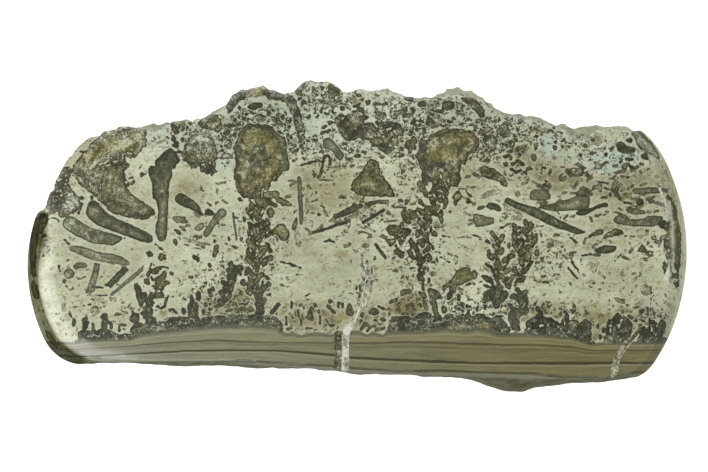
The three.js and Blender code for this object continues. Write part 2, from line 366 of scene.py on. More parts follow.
# %% Litter of small flakes in the mud, under everything else
MIDDLE_LEFT = (-43, -3, -30, -4, -28, 6, -30, 13, -42, 14)
MIDDLE = (-18, 4, -12, -3, 9, -3, 10, 8, -2, 10, -8, 17, -17, 16)
MIDDLE_RIGHT = (22, -3, 44, -3, 44, 14, 34, 18, 24, 14)
RIGHT_TOP = (42, 8, 76, 5, 74, 16, 60, 18, 44, 18)
RIGHT_MIDDLE = (43, -5, 76, -6, 76, 6, 44, 8)
LEFT_LOW = (-70, -20, -54, -20, -52, -8, -60, -4, -72, -6)
RIGHT_LOW = (44, -19, 76, -18, 76, -6, 44, -6)
LITTER = (  # tone, count and longest in mm for each of the areas
    (("brown flake", 30, 2.0), ("growth", 14, 1.1), ("pale flake", 12, 2.2)),
    (("brown flake", 50, 2.2), ("growth", 22, 1.1), ("pale flake", 14, 2.4)),
    (("brown flake", 34, 2.2), ("growth", 16, 1.1), ("faint flake", 16, 3.0)),
    (("brown flake", 60, 2.8), ("growth", 44, 1.5), ("pale flake", 26, 3.4)),
    (("brown flake", 56, 2.4), ("growth", 24, 1.2), ("pale flake", 20, 2.6)),
    (("brown flake", 36, 1.3), ("growth", 12, 0.8), ("faint flake", 10, 2.0)),
    (("brown flake", 26, 1.4), ("growth", 10, 0.8), ("faint flake", 16, 2.4)),
)
AREAS = (MIDDLE_LEFT, MIDDLE, MIDDLE_RIGHT, RIGHT_TOP, RIGHT_MIDDLE, LEFT_LOW, RIGHT_LOW)
for number, (area, kinds) in enumerate(zip(AREAS, LITTER)):
    for tone, count, longest in kinds:
        litter(tone, 40 + number, count, longest, *area)

# %% The big lump and the flakes at the left end
draw("mottled growth",
    patch(-69.1, 17, -63, 24, -59.6, 26.4, -52, 26.6, -50.6, 26.2, -51.4, 24.6, -50.8, 22.2, -51.8, 21.6,
        -54, 18.7, -55.9, 19.4, -56.1, 18.3, -55.2, 17.4, -55.7, 16.2, -60, 15, -63, 10.4, -64.3, 10.3,
        -68.1, 13.5))
draw("mottled growth", patch(-66, 12.6, -61.6, 8, -59, 9, -58, 13, -59, 17, -63, 17.6))
shade(0.66, 0.5, 2.0, lobe(-56.5, 23, 5, 2.5, 10), lobe(-62.6, 19.6, 4, 2.6, 40))
shade(0.45, 0.2, 1.5, rod(2, -66.4, 14.6, -63.6, 12.2), lobe(-62.4, 24, 2.4, 1.2, 35))
shade(0.75, 0.3, 0.5, rod(0.4, -68, 17.4, -66.4, 18.8, -64.6, 21.4),
    rod(0.3, -60.4, 22.6, -57, 21.6, -54.4, 22.4), rod(0.3, -64.4, 15.8, -62, 14.4, -60.8, 12),
    rod(0.3, -58.8, 24.6, -55, 24.6), rod(0.3, -66, 16, -63.6, 17.6))
shade(0.55, 0.95, 1.5, rod(2.5, -65.5, 18.5, -62.5, 21, -59, 22.6), rod(1.5, -55.5, 21.5, -53, 22.5))
draw("growth",
    patch(-62.4, 10.4, -61.3, 16.6, -60.6, 17.3, -57, 17.4, -56.3, 16.6, -56.3, 13.2, -54.8, 10.3, -49.6, 6.9,
        -48.8, 6.1, -49, 5.3, -52, 3.8, -59.4, 5.8, -60.8, 7))
shade(0.42, 0.45, 1.2, rod(2.2, -59, 14, -58, 11, -55.5, 8.6, -52.5, 6.8))
shade(0.1, 0.2, 0.5, rod(0.6, -58, 7.7, -55.2, 6.9, -52.5, 5.7), rod(0.5, -56.6, 6.2, -53.5, 4.9, -51.5, 4.7))
cut(rod(0.4, -62.6, 17.4, -60.8, 18, -59.6, 19.2, -56, 20.2, -54.4, 20.1),
    rod(0.35, -61.6, 16.4, -59.2, 18.1, -57, 18.6), rod(0.3, -57.8, 25.6, -56.4, 25.9, -56.5, 25),
    lobe(-56.9, 25.2, 0.35))
draw("mottled growth",
    patch(-75.6, 8.4, -71.4, 16.6, -70, 17.2, -68.9, 16.4, -70.3, 13, -69.2, 12, -68.3, 10, -69.6, 9.2,
        -71.4, 9.6, -72.3, 8, -72.6, 6, -73.8, 5, -75, 6))
shade(0.05, 0.3, 1.0, lobe(-73.8, 8.4, 1.6, 3), lobe(-71.5, 12.6, 1.6, 1.2))
cut(patch(-73.2, 11, -71.4, 12, -71.3, 11.2, -72.4, 10.4, -73, 10.3),
    rod(0.4, -73.2, 13.4, -71.6, 13.9, -70.2, 13.6), rod(0.35, -70.8, 14.6, -69.4, 15.6, -69.2, 14.6),
    rod(0.3, -72.8, 9.6, -70.6, 10.6))
draw("mottled growth", patch(-77.6, 0.8, -77.6, 5.6, -75.4, 6, -74.6, 4.4, -76.4, 0.6))
draw("olive growth", patch(-80, -4, -79.2, 4, -78, 5, -77.4, 1, -78.2, -7, -77.8, -9.8, -79.4, -10),
    patch(-79.6, -11, -78.4, -10.4, -77, -14.8, -78.2, -15.4, -79.4, -14),
    patch(-76.4, -23, -75.4, -22.6, -71.4, -27.4, -72.6, -27.8, -75, -25.6))
draw("mottled growth",
    patch(-72.6, 5, -72.4, 7, -71.4, 9, -71.6, 12.6, -70, 12.8, -66.8, 8.6, -67, 6.6, -71, 4.6))
shade(0.5, 0.1, 1.0, lobe(-69.4, 8, 2, 2.6, -30))
shade(0.8, 0.1, 0.3, rod(0.25, -71, 11.4, -69.8, 9, -68.2, 7.4),
    rod(0.25, -71.8, 8.6, -70.4, 7.4, -69.4, 5.9))
draw("dark growth", lobe(-66.8, 20.6, 0.45, 0.3), lobe(-69.4, 16, 0.7, 0.5), lobe(-66.6, 9.3, 0.5, 0.35),
    rod(0.45, -67.5, 5.6, -66.5, 8), rod(0.35, -74.6, 4.4, -73, 4.4, -72.2, 3.7), lobe(-64.3, 9.5, 0.35, 0.6),
    rod(0.6, -56.4, 15.2, -56.2, 13.8))
draw("dark flake",
    patch(-65.8, 5.1, -65.3, 8, -64.3, 8.8, -63.3, 8.7, -60, 5.2, -51.3, 1.3, -49.7, 0.3, -49.3, -0.9,
        -50.2, -1.7, -51.6, -1.5, -63, 2.7))
shade(0.5, 0.4, 0.6, rod(0.5, -62, 3.8, -52, -0.4), lobe(-63.7, 5.8, 1.2, 1.4))
draw("flake",
    patch(-71.5, 2.5, -71.3, 3.8, -70.2, 5, -69, 4.9, -65, 2.3, -57, 0, -56.7, -0.5, -58.6, -2.2, -64, -1.7,
        -68.5, 0.3))
shade(0.66, 0.2, 1.5, lobe(-70, 3.2, 1.6, 1.4, -30))
shade(0.3, 0.25, 0.8, rod(2, -64, 0.4, -60.5, -0.6, -58, -0.9))
shade(0.8, 0.2, 0.25, rod(0.25, -67.2, 2.6, -65.8, 1, -65, -0.6),
    rod(0.25, -64.8, 2, -64.2, 0.4, -62.8, -1.8))
draw("pale flake",
    patch(-69.9, -2.4, -68.5, -2.1, -65, -2.8, -63, -3.8, -58.5, -4.2, -55.1, -6, -55, -7.2, -64, -5.8,
        -69.7, -3.4),
    chip(-65.8, -13.8, -64.4, -9.6, -63.6, -6.4, -62.1, -6.6, -63.6, -13.4),
    chip(-59.9, -14.1, -51.6, -6.8, -51.9, -8.3, -54.4, -10.6, -59.5, -14.5))
shade(0.3, 0.3, 0.4, rod(0.4, -68, -2.3, -64.6, -3, -62.5, -3.9, -58.6, -4.3, -55.6, -5.9))
draw("dark flake", chip(-61.2, -12, -56.6, -7.2, -55.2, -8, -57.2, -10.2, -59.6, -12.4))
draw("pale flake", patch(-69.4, -7.6, -68, -6.2, -66, -6.2, -65, -7.2, -66.4, -7.8))
draw("brown flake", lobe(-63.4, -17.9, 1.2, 1))
draw("faint flake", patch(-71.8, -16.2, -70.8, -15.9, -70.3, -17, -70.6, -18.3, -71.5, -18.1),
    patch(-64.6, -17.6, -63.2, -16.9, -62.2, -17.6, -62.6, -18.6, -64.2, -18.7))
draw("flake", lobe(-69.8, -9, 1.3, 1.2))
shade(0.95, 0.3, 0.4, lobe(-70.7, -9.6, 0.7, 0.6))
draw("growth", rod(0.45, -70.9, -0.7, -69.9, -1.8), lobe(-70.9, -10.9, 0.4, 0.7),
    rod(0.5, -69.6, -18.4, -69.3, -19.6), rod(0.3, -72.4, -7, -72, -8.4), rod(0.25, -64, -12.2, -61.5, -12.4),
    rod(0.25, -63.8, -14.4, -60.6, -14.2), rod(0.25, -66.2, -16.8, -64.6, -16.6))

# %% The upright flake and the growth beside it
draw("dark flake",
    patch(-50.8, 15.8, -50, 17.4, -49.1, 16.8, -48.7, 17.6, -49.2, 18.3, -45.1, 21.9, -42.8, 19, -42.9, 17.9,
        -43.9, 17.6, -43.8, 16.5, -45, 16.3, -44.6, 15, -45.5, 13, -46, 0, -46.7, -1.1, -48, -1.2, -48.6, 0,
        -48.9, 2.4, -48.1, 5, -48.2, 7, -48.7, 9, -49.5, 9.2, -49.6, 13))
shade(0.05, 0.2, 1.2, rod(2.5, -47, 19.4, -44.6, 20.4, -43.8, 18.6))
shade(0.45, 0.3, 1.2, rod(1.6, -47, 8, -47.4, 0.5), rod(1, -46.2, 14.5, -46.6, 11))
draw("dark flake", patch(-44.4, 9.2, -42.8, 10.9, -38.5, 8, -36.8, 4.6, -39.5, 6.3, -43.5, 7.9),
    patch(-44.6, 1.7, -43.7, 1.8, -42.2, 1.1, -42.8, 0.1, -43.6, 0.8), lobe(-44, -1.3, 0.5, 0.9, 20),
    patch(-36.9, 6.2, -36, 7, -34.2, 5.7, -35, 5, -36.5, 5))
draw("pale flake", patch(-45, 4.8, -43.8, 5.1, -42, 4.8, -40.4, 3.1, -44, 3.3),
    patch(-39.5, 1.8, -38.8, 2.8, -37.1, 3.6, -36.9, 2.4, -38.2, 1.1), rod(0.45, -30, 5.6, -29.1, -0.8),
    lobe(-28, -0.7, 0.45, 0.6))
draw("flake", patch(-37.4, 0.8, -33.9, 6.1, -32.9, 7, -31.9, 6.7, -31.2, 5.5, -34, 3.2, -36, -0.1, -37, -0.1))
draw("faint flake", rod(1, -41.8, -0.8, -39.6, -1.1, -37.6, -1.9), rod(0.3, -40, -2.8, -37.4, -3),
    rod(0.5, -48.6, 22.6, -46.5, 23.4))
draw("growth", lobe(-27.3, 4.4, 0.45, 0.75), lobe(-34.5, -1.3, 0.55, 0.5), lobe(-35.7, -7, 0.4, 0.65),
    patch(-35.1, -5, -34.6, -2.1, -33.6, -1.9, -33.4, -2.8, -34.3, -5.3), rod(0.9, -39.6, -4.9, -38.5, -5.7),
    rod(0.35, -37.6, -2.5, -37, -2.8), rod(0.3, -31.1, 0, -31, -0.9),
    rod(0.45, -55.2, 14.1, -54.4, 14.3, -54, 13.5, -54.6, 12.8), rod(0.3, -55.4, 13, -55.3, 12),
    rod(0.25, -53, 16.2, -52.2, 17.3), rod(0.3, -46.7, 24.2, -45.6, 23.9))
draw("growth", patch(-51.1, -3.9, -50.3, -3.4, -49, -4.5, -49.9, -5, -50.8, -4.7),
    patch(-48.2, -5, -47.5, -4, -46.6, -4.1, -46.1, -5.3, -46.9, -5.9, -47.8, -5.8),
    rod(0.5, -48.7, -1.9, -46.6, -3.8), lobe(-44.9, -8.9, 0.5), rod(0.5, -49.8, -6.5, -50.2, -7.6),
    rod(0.8, -50.2, -7.8, -50.6, -9.4),
    patch(-50.3, -8.6, -49.2, -7.5, -47.6, -7, -47.1, -7.7, -48.5, -9.1, -49.6, -9.2),
    rod(0.35, -47.2, -7.4, -45.7, -7.7),
    patch(-51.7, -10.4, -50.7, -9.9, -50, -10.7, -50.2, -11.7, -51.5, -11.6),
    rod(0.5, -49.8, -9.9, -49.2, -11.2), rod(0.5, -49.4, -12, -48.8, -13.2),
    patch(-49.6, -10.2, -47.6, -9.4, -46.7, -8.2, -45.9, -8.5, -46.5, -10.8, -45.5, -10.9, -45, -11.6,
        -46.4, -12, -46.7, -13, -48.4, -13.3, -49.1, -12.3, -48.9, -11),
    patch(-49.6, -13.8, -47.3, -13.3, -46.6, -14.3, -47.2, -15.2, -49.4, -14.9),
    rod(0.6, -45.7, -14.5, -46.3, -15.6, -46.5, -16.8, -47.4, -17.4), lobe(-48.3, -17, 0.5, 0.35),
    rod(0.7, -45.6, -17.8, -44.5, -17.7, -43.6, -18.5), lobe(-42, -17.9, 0.5, 0.6),
    rod(0.35, -44.6, -19.9, -41, -20))
draw("grey growth",
    patch(-54.2, -12, -53.5, -11.2, -52.7, -11.7, -52, -13.4, -51.5, -15.2, -51.7, -17, -52.6, -17.4),
    patch(-51.2, -18.6, -51.2, -14.6, -50.4, -14.6, -49.8, -19.2, -49, -20.8, -49.2, -22.4, -51, -22.4),
    lobe(-53.8, -19.8, 1.2, 1.3), patch(-55.2, -23.8, -54.6, -21.4, -53, -20.6, -51.6, -21.4, -51, -23.2),
    lobe(-68.6, -20.9, 0.45, 0.95), lobe(-65.8, -21, 0.7, 1.7), rod(0.7, -64, -21.4, -64, -23),
    rod(1.4, -61.1, -19.3, -61.2, -22.8), lobe(-59.6, -21.6, 0.45, 1), lobe(-54.4, -18.9, 0.35, 0.5),
    rod(0.5, -57.6, -21.8, -57.6, -23), rod(0.6, -57.4, -21.4, -56, -21.5),
    rod(0.5, -45.4, -19.8, -41.2, -19.8), rod(0.5, -45.4, -18.2, -44.6, -17.5, -43.8, -18.2),
    lobe(-42, -18.4, 0.45, 0.5))
overlapping("grey growth", leaves(22, 0.9, 2.1, 1.4, -50.6, -15, -50.6, -18, -50.2, -21.6))
overlapping("grey growth",
    leaves(25, 1.0, 1.3, 1.1, -61.2, -20, -61.2, -22.6) + leaves(26, 0.9, 1.2, 1.0, -65.8, -21, -65.8, -23))
draw("hedge",
    patch(-68, -23.8, -66.6, -22.6, -63, -23, -61.8, -22.4, -60.3, -22.4, -58, -23.8, -55, -23.4,
        -54.8, -24.7, -60, -25.2, -67, -24.8))

# %% Lumps beside the first tree, and the arch over it
draw("mottled growth",
    patch(-42.7, 19.8, -40.5, 24.3, -39.2, 25, -38.2, 24.6, -36.5, 25.3, -35.2, 25, -33.6, 20.2, -34.2, 18.5,
        -34.2, 15.2, -35, 14.8, -38.1, 15.9, -38.3, 17.2, -39.4, 16.5, -40.5, 16.9),
    patch(-38.5, 26.7, -38, 28.6, -36.9, 29.8, -35.2, 30, -33.3, 29.2, -32.3, 26.4, -33.5, 25.2, -35, 26,
        -37, 26),
    patch(-45.3, 27.6, -43, 28.5, -41.8, 28.2, -41.5, 26.5, -42.5, 25.1, -44, 24.8, -45, 26))
shade(0.68, 0.2, 1.6, lobe(-37.6, 22.2, 3, 2.6))
shade(0.08, 0.1, 0.8, lobe(-36.2, 16.6, 2.4, 1.2, -15), lobe(-39, 18, 1.8, 0.8))
cut(lobe(-37.4, 17.4, 0.5, 0.35), lobe(-35.5, 17.9, 0.3), rod(0.25, -36.8, 17, -36.2, 16.6),
    rod(0.25, -44.8, 27.3, -43.3, 26.2, -41.8, 24.4), rod(0.25, -44.3, 24.8, -43, 25.8, -42, 27))
draw("dark growth", lobe(-44.4, 23.7, 0.5, 0.8), lobe(-43.9, 22.3, 0.8, 0.7), lobe(-42.8, 20.6, 0.7, 0.4),
    lobe(-42.2, 23.5, 0.4, 0.6), patch(-33.3, 19, -32.6, 20.1, -31.2, 20.4, -30.5, 19.2, -32.5, 18.6),
    lobe(-40.2, 27.4, 0.5), lobe(-32.8, 20.9, 0.6, 0.3), lobe(-31.2, 22.4, 0.8, 1.2, -20),
    lobe(-29.8, 20.9, 0.3, 0.7))
draw("mottled growth",
    patch(-31.9, 32, -30.6, 34.4, -28.6, 35.7, -25.8, 35.9, -25.4, 34.6, -25.8, 33.7, -27.6, 33.4,
        -29.2, 32.4, -30.6, 29.8, -31.2, 29.6),
    patch(-22.5, 36, -20.3, 36, -18, 35.3, -15.8, 34.4, -14.6, 33, -12.5, 26.8, -12.8, 21.2, -13.3, 20.8,
        -15.4, 28.8, -16.8, 32, -18.4, 33, -22.3, 33.6),
    lobe(-31.8, 19.6, 1.1, 0.85), lobe(-31, 22.3, 0.8, 0.9), lobe(-31.4, 25.2, 0.8, 0.7),
    rod(0.3, -30.1, 20.6, -30.1, 19))
shade(0.34, 0.1, 0.6, rod(5, -31, 31, -28, 34.6, -24, 35.4, -18, 34, -14.4, 30, -13, 22))
draw("brown flake", patch(-25.4, 36.2, -25.5, 34, -24, 33.8, -22.7, 34, -22.6, 36.3))
draw("dark growth", patch(-28.9, 31.6, -28.2, 31.9, -27.9, 30.9, -28.6, 30.4),
    patch(-26.8, 31.4, -25.6, 32.5, -23.4, 32.6, -22.5, 31.6, -23.6, 30.9, -25.6, 30.8),
    lobe(-20.2, 30.6, 0.7, 0.4, -20), lobe(-17.9, 28.9, 0.45, 0.7), lobe(-16.4, 26.6, 0.4, 0.6),
    lobe(-15.9, 24, 0.35, 0.6), lobe(-29.4, 28.3, 0.5, 0.7))
draw("faint flake", patch(-24.9, 28.6, -24.2, 29.4, -22.6, 29.4, -21.7, 28.4, -22.6, 27.7, -24.2, 27.7))
draw("growth", rod(0.3, -24.8, 29.2, -23.4, 29.6, -21.8, 29))

# %% The first tree: its crown
draw("growth",
    patch(-30, 15.3, -29, 17.8, -29.8, 20.2, -29.5, 22, -28.4, 25.5, -27.2, 26.8, -25.8, 27.7, -23.6, 27.1,
        -21.2, 27.3, -19.2, 24.9, -16.9, 23.8, -17.2, 22.3, -16.1, 16.8, -16.8, 15.9, -18, 15.8, -19.5, 13.2,
        -20.6, 13.8, -21.4, 11.2, -22.4, 11.4, -23, 10, -24.4, 9, -27.4, 9.4, -28.2, 10, -29, 11.2))
shade(0.26, 0.4, 1.2, rod(1.6, -29, 22.6, -27.8, 25.4, -25, 26.8, -21.6, 26.8, -18.8, 25, -17.2, 22))
shade(0.46, 1.0, 1.6, rod(2.8, -27, 23.4, -23.5, 24.4, -20.4, 22.3, -19.6, 19.8, -20.4, 15.6, -22, 13.2))
shade(0.43, 0.8, 1.2, lobe(-27.4, 15.6, 0.9, 2), rod(1.6, -27.6, 13, -26.4, 11.2))
shade(0.32, 0.3, 1.6, lobe(-24, 19.6, 2, 2.8))
shade(0.2, 0.2, 1.6, lobe(-17.6, 17.6, 1.1, 2.4), rod(1.4, -28.6, 22, -29, 18.6))
shade(0.7, 0.9, 0.6, lobe(-21.2, 21.6, 1.0, 0.4, 20), lobe(-24.6, 24, 1.2, 0.4), lobe(-20, 18.6, 0.4, 1.2))
shade(0.95, 0.4, 0.3, rod(0.4, -26.7, 20, -26.2, 16), lobe(-26.9, 24.4, 0.3, 0.8, 20),
    rod(0.25, -25.6, 15.2, -25, 13.6), lobe(-27.9, 21.6, 0.25, 0.5), rod(0.3, -28, 15.6, -27.4, 14),
    rod(0.2, -22.6, 20.6, -22.2, 18.4), rod(0.2, -18.6, 19.4, -18.8, 17.6), rod(0.2, -28.2, 19, -27.8, 17.6))
cut(rod(0.2, -19.6, 15, -20.4, 13.2), rod(0.25, -22.6, 11.8, -23, 10.4))

# %% The first tree: its trunk and branches
draw("olive growth",
    patch(-23.2, 9.3, -22.6, 10.6, -21.3, 11, -19.2, 11.2, -18.5, 10.3, -18.9, 9.4, -21.4, 8.9),
    patch(-20.7, 10, -19.3, 9.9, -16.3, 8.3, -15.2, 7.1, -18.3, 7.5))
draw("growth",
    patch(-26.8, -13, -26.2, -9, -25.4, -7.6, -25.2, -3, -26.2, -1.6, -26.7, 1.5, -25.6, 2.2, -25.4, 3.2,
        -24.5, 3.5, -24.1, 4.8, -24.5, 6.2, -24.2, 7.4, -24.8, 8.4, -24.4, 9.6, -22.6, 9.5, -20.9, 9,
        -18.8, 7.5, -19.6, 6.9, -20.9, 7.6, -22.1, 6.9, -23.2, 3, -22.7, 2.4, -23.4, 1.4, -23, 0.4,
        -23.4, -0.6, -23.5, -8, -25, -13, -26.1, -14.4),
    patch(-27.4, 6.8, -26.5, 7.3, -25.4, 6, -24.4, 5.5, -25.8, 4),
    patch(-21.9, 6.4, -21.2, 7.2, -20.2, 7, -19.9, 5.9, -20.3, 4.9, -21.1, 4.4, -21.8, 5.2),
    patch(-22.4, 4.5, -21.8, 4.9, -20.5, 2.8, -21.1, 2.5),
    patch(-23.2, -0.4, -23, 1.2, -22, 2.3, -21, 2.6, -20.4, 0.5, -22.4, -1), lobe(-28.3, 9, 0.5, 0.4),
    rod(0.45, -26.3, 8.9, -25.6, 8.3))
draw("olive growth",
    patch(-20.7, 1.3, -18.8, 3.3, -17.3, 2.9, -16.2, 0.7, -16.4, -0.5, -17.4, -1.2, -18.5, -0.9, -18.9, 0.2,
        -19.8, 0.5, -20.5, 0),
    patch(-22.8, -2.4, -22, -1.5, -21, -1.5, -20.8, -2.6, -22.7, -4), lobe(-21, -3.5, 0.45, 0.65, -30),
    patch(-23.1, -6.6, -23, -5.6, -22, -4.8, -21, -4.2, -20.1, -4.8, -20.3, -5.8, -21.5, -6.2, -21.9, -7,
        -22.9, -7.6),
    patch(-26.9, -2.8, -26.2, -2.5, -25.5, -4.2, -25.3, -5, -25.9, -6.2, -26.6, -5.2))
draw("growth", rod(0.85, -22.7, -12, -22.9, -10.2, -22.3, -9.5, -21.6, -10.1), lobe(-21.4, -11.6, 0.7, 0.6),
    lobe(-26.6, -9, 0.7, 0.6), lobe(-26, -13.3, 0.9, 1.2), lobe(-21.4, -14.1, 0.6, 0.4))
cut(rod(0.3, -21.8, 7, -21.1, 7.4, -20.4, 7.3), rod(0.25, -24.3, 1.6, -24.1, -1),
    rod(0.25, -24.6, -6.5, -24.4, -8.6), rod(0.25, -25.9, 0.8, -25.4, -0.6), rod(0.25, -24, -3.4, -24.3, -5),
    rod(0.25, -22.4, -5.9, -21.5, -5.6))
apart("growth", *leaves(3, 1.35, 2.5, 1.35, -24.2, 6.4, -24.3, 2, -24.6, -2, -24.6, -8, -24.8, -12))
apart("olive growth", *leaves(4, 1.8, 3.3, 1.25, -23.8, 3.4, -24.2, -1, -24.4, -6, -24.6, -9.4))
draw("grey growth",
    patch(-24.8, -19.6, -24.2, -17, -24.6, -12, -23.4, -12.4, -22.8, -14.6, -22.9, -17.5, -22, -19.6),
    patch(-33, -16.6, -32.8, -14.6, -30.8, -9.6, -29.6, -9.4, -29, -10.6, -31.7, -16.6),
    patch(-30.6, -8.2, -29.9, -6.9, -29, -6.9, -28.8, -8.8, -29.6, -9.4, -30.4, -9.2),
    lobe(-28.2, -9, 0.4, 0.6), patch(-27.3, -10.2, -26.6, -11.8, -27.6, -12.2, -28.5, -11.4, -28, -10.4),
    lobe(-33.9, -16.9, 0.8, 0.45), lobe(-35.7, -13.4, 0.55, 0.75), lobe(-35, -12.8, 0.55, 0.7),
    lobe(-35.4, -14.2, 0.5, 0.6), lobe(-38.4, -14.6, 0.7, 1.2),
    patch(-41, -18.2, -40.9, -16.2, -40.2, -15.3, -39.4, -15.8, -38.7, -15.6, -38.3, -17, -38.6, -19.9,
        -40.7, -19.9),
    lobe(-36.6, -16.6, 0.5, 0.7), lobe(-37.2, -18.4, 0.4, 0.8), lobe(-35.4, -17.6, 0.5, 0.4),
    rod(1, -20.5, -18.5, -19, -16.6), rod(0.5, -31.6, -18.2, -30.2, -17.6))
overlapping("grey growth", leaves(21, 0.55, 2.3, 1.4, -29.8, -8.4, -30.4, -11.4, -31.6, -14.6, -32.6, -17))
overlapping("grey growth",
    leaves(27, 0.8, 2.1, 1.3, -23.6, -13, -23.6, -16.4, -23.2, -19) + leaves(28, 0.8, 1.3, 1.0, -39.6, -16,
        -39.6, -19))
draw("dark growth", rod(0.4, -28.6, -16.3, -26.8, -16.4, -26.2, -15.8))

# %% Flakes and lumps between the first two trees
draw("flake", patch(-14.5, 14.4, -14, 14.7, -13.4, 14.3, -12.9, 3.6, -13.4, 2.7, -13.9, 3.3),
    patch(-15.9, 2.5, -14.5, 5.1, -14.2, 3.8, -14.6, 1.7, -15.4, 1.2),
    patch(-8.4, 22.3, -8, 23.7, -7, 24.2, -6, 23.7, -2.9, 20, -3.1, 19, -4, 18.3, -5, 19, -6.1, 21.2,
        -7.8, 21.2))
draw("faint flake", lobe(-14.3, -0.6, 0.8, 2.2, 8), rod(0.7, 26.9, 12.1, 29.8, 11.9),
    rod(0.35, -4.8, 0, -3, 0.3), lobe(-2.4, -2.2, 0.9, 0.5), lobe(-11, 3, 0.4, 0.8))
draw("growth", rod(0.55, -13.4, 17.4, -9.4, 18.4, -8.2, 18.2),
    rod(0.6, -9.3, 14.2, -8.5, 15.8, -7.9, 19.4, -7.1, 19.8, -6.3, 18.8, -6.5, 17.6),
    rod(0.75, -8.5, 25.1, -6.5, 25.8), rod(0.45, -8.4, 26.3, -7.4, 26.8), lobe(-6.5, 27.6, 0.6),
    lobe(-0.5, 35.6, 0.7, 0.5), lobe(0.5, 34.3, 0.6, 0.4), lobe(2.8, 32.6, 0.6, 0.7),
    rod(0.6, -0.6, 31.6, 0.9, 32.3), lobe(-0.5, 30.1, 0.6, 0.5), lobe(1.2, 30.6, 0.6, 0.8, 30),
    lobe(-3.6, 29.4, 0.7, 0.5), lobe(-3.4, 31.1, 0.6, 0.5), lobe(0.1, 19.6, 0.8, 0.5),
    rod(0.35, -18.3, -6.2, -16.2, -6.6, -13.5, -7.6), lobe(-15.6, -6.9, 0.7, 0.3, -20),
    lobe(-9, 5.3, 0.5, 0.3), rod(0.45, -7.7, -1.2, -6.6, -0.9, -5.4, -1.4),
    rod(0.25, -12.5, -14.6, -11.2, -13.9), lobe(-13.7, -9.2, 0.5, 0.2))
draw("mottled growth", patch(-7.1, 36, -6.3, 37.4, -3.7, 35.2, -4.2, 34.1, -5.4, 34, -6.4, 32.9),
    patch(-9.6, 33.4, -6, 32.6, -3.2, 33.7, -3.6, 32.8, -5.2, 32, -7.6, 31.8, -9, 32.4),
    patch(-15.5, 35, -14.8, 36.6, -13.4, 37.5, -12.3, 37.2, -13.4, 35, -13.2, 33.6))
shade(0.6, 0.4, 0.5, lobe(-5.5, 35.3, 0.7, 0.6))
draw("mottled growth",
    patch(-5.4, 28.5, -4.8, 29.2, -3.3, 27.8, -2.9, 29.2, -1.8, 30, -0.7, 29.6, -0.4, 28.4, 3, 27.3, 5, 28.4,
        9.2, 27.9, 10.9, 27.2, 11.8, 24.1, 9.7, 24.8, 10.3, 22.8, 9.8, 21.7, 8, 20, 6.5, 20.1, 4.8, 22,
        3, 21.2, 3.7, 22.6, 2.9, 23.4, 1.8, 23.3, 0.5, 24.1, -2, 22.8, -4.3, 25.2))
shade(0.06, 0.25, 1.0, rod(2, -3.6, 27, -1.6, 25, 1.4, 25.4), lobe(7.4, 27, 2.4, 1),
    lobe(7.2, 21.2, 1.6, 0.8))
cut(rod(0.45, 4.1, 27.7, 5, 26.4, 6.4, 25), rod(0.35, 8.3, 26.4, 7.4, 26, 7.4, 25.2),
    rod(0.4, 6.6, 22.3, 9.7, 21.8), rod(0.3, 9.2, 25.6, 9.8, 24.9), rod(0.25, 1.6, 26.6, 2.8, 26.9),
    lobe(6.4, 24.2, 0.3), lobe(4.6, 24.6, 0.25), lobe(-2.6, 28.2, 0.3, 0.2), lobe(0.6, 26.4, 0.25))
draw("growth",
    chip(-1.4, 11.5, -1.2, 13, 1.3, 16, 2.1, 17.6, 2.9, 18.5, 3.6, 18.9, 4.6, 18.4, 5.4, 17.6, 5.8, 16,
        5.7, 14.9, 6.5, 14.8, 7.6, 13.4, 8.8, 11.4, 9.4, 9.7, 1, 9.9))
shade(0.4, 0.75, 1.2, lobe(3, 14, 1.4, 1.8), rod(1.2, 2.4, 12.6, 6, 12.2))
draw("dark flake", chip(-5.9, 4.5, -5.6, 5.3, -0.5, 7.8, 1.4, 8, 1.6, 6.9, -0.4, 5.9, -4.6, 4.3),
    rod(0.75, -10.4, 1, -7, 1.9, -4.5, 2.9, -2.5, 3.3), rod(0.85, 1.7, 3.5, 6.7, 6.4))
draw("faint flake", patch(-3, 4, 2.2, 8, 2.9, 7, 0.4, 4.6))
draw("flake", rod(0.95, 2.4, 7.9, 5, 8.4, 7.4, 8.4), rod(0.5, 9.7, 7.1, 12, 7.1),
    rod(0.35, 8.6, 7.3, 9.8, 8.4))
draw("pale flake", rod(0.5, 6.8, 3.6, 9.8, 3.9), rod(0.5, 0.4, 1.2, 2, 1, 3.6, 0.3),
    rod(0.35, 2, 2.6, 4.6, 1.2))
draw("mottled spar", patch(-1.6, -3.2, 2, -2.8, 3.4, -3.3, 2.5, -4, 1, -4.1))

# %% The second tree: its crown
draw("growth",
    patch(14.1, 19.8, 15, 20.2, 15.2, 23.4, 16, 24.2, 16.7, 23.2, 17.4, 23.6, 17.8, 24.8, 22, 26.3,
        27.6, 25.8, 29.5, 24, 29.9, 22.6, 28.7, 20.1, 26.7, 19.6, 26.9, 18.4, 26.3, 17.2, 25.3, 17.5,
        25, 14.8, 25.5, 13.8, 24.9, 12.8, 23.8, 11.9, 22.9, 12.4, 21.6, 10.2, 19.6, 10.2, 18.4, 11.2,
        18.3, 12.6, 17.2, 12.2, 15.6, 13.4, 15.8, 16),
    patch(14.8, 12.2, 14.9, 13.6, 15.9, 13.9, 17.8, 9.2, 17, 9.2, 15, 11.2),
    patch(11.3, 21.9, 13.4, 24.4, 14.2, 24.4, 14.9, 23.4, 14.3, 22.4, 14.7, 21.4, 14.2, 20.8, 13.7, 21.3,
        13.3, 20.2, 12.7, 20, 12.6, 21.2))
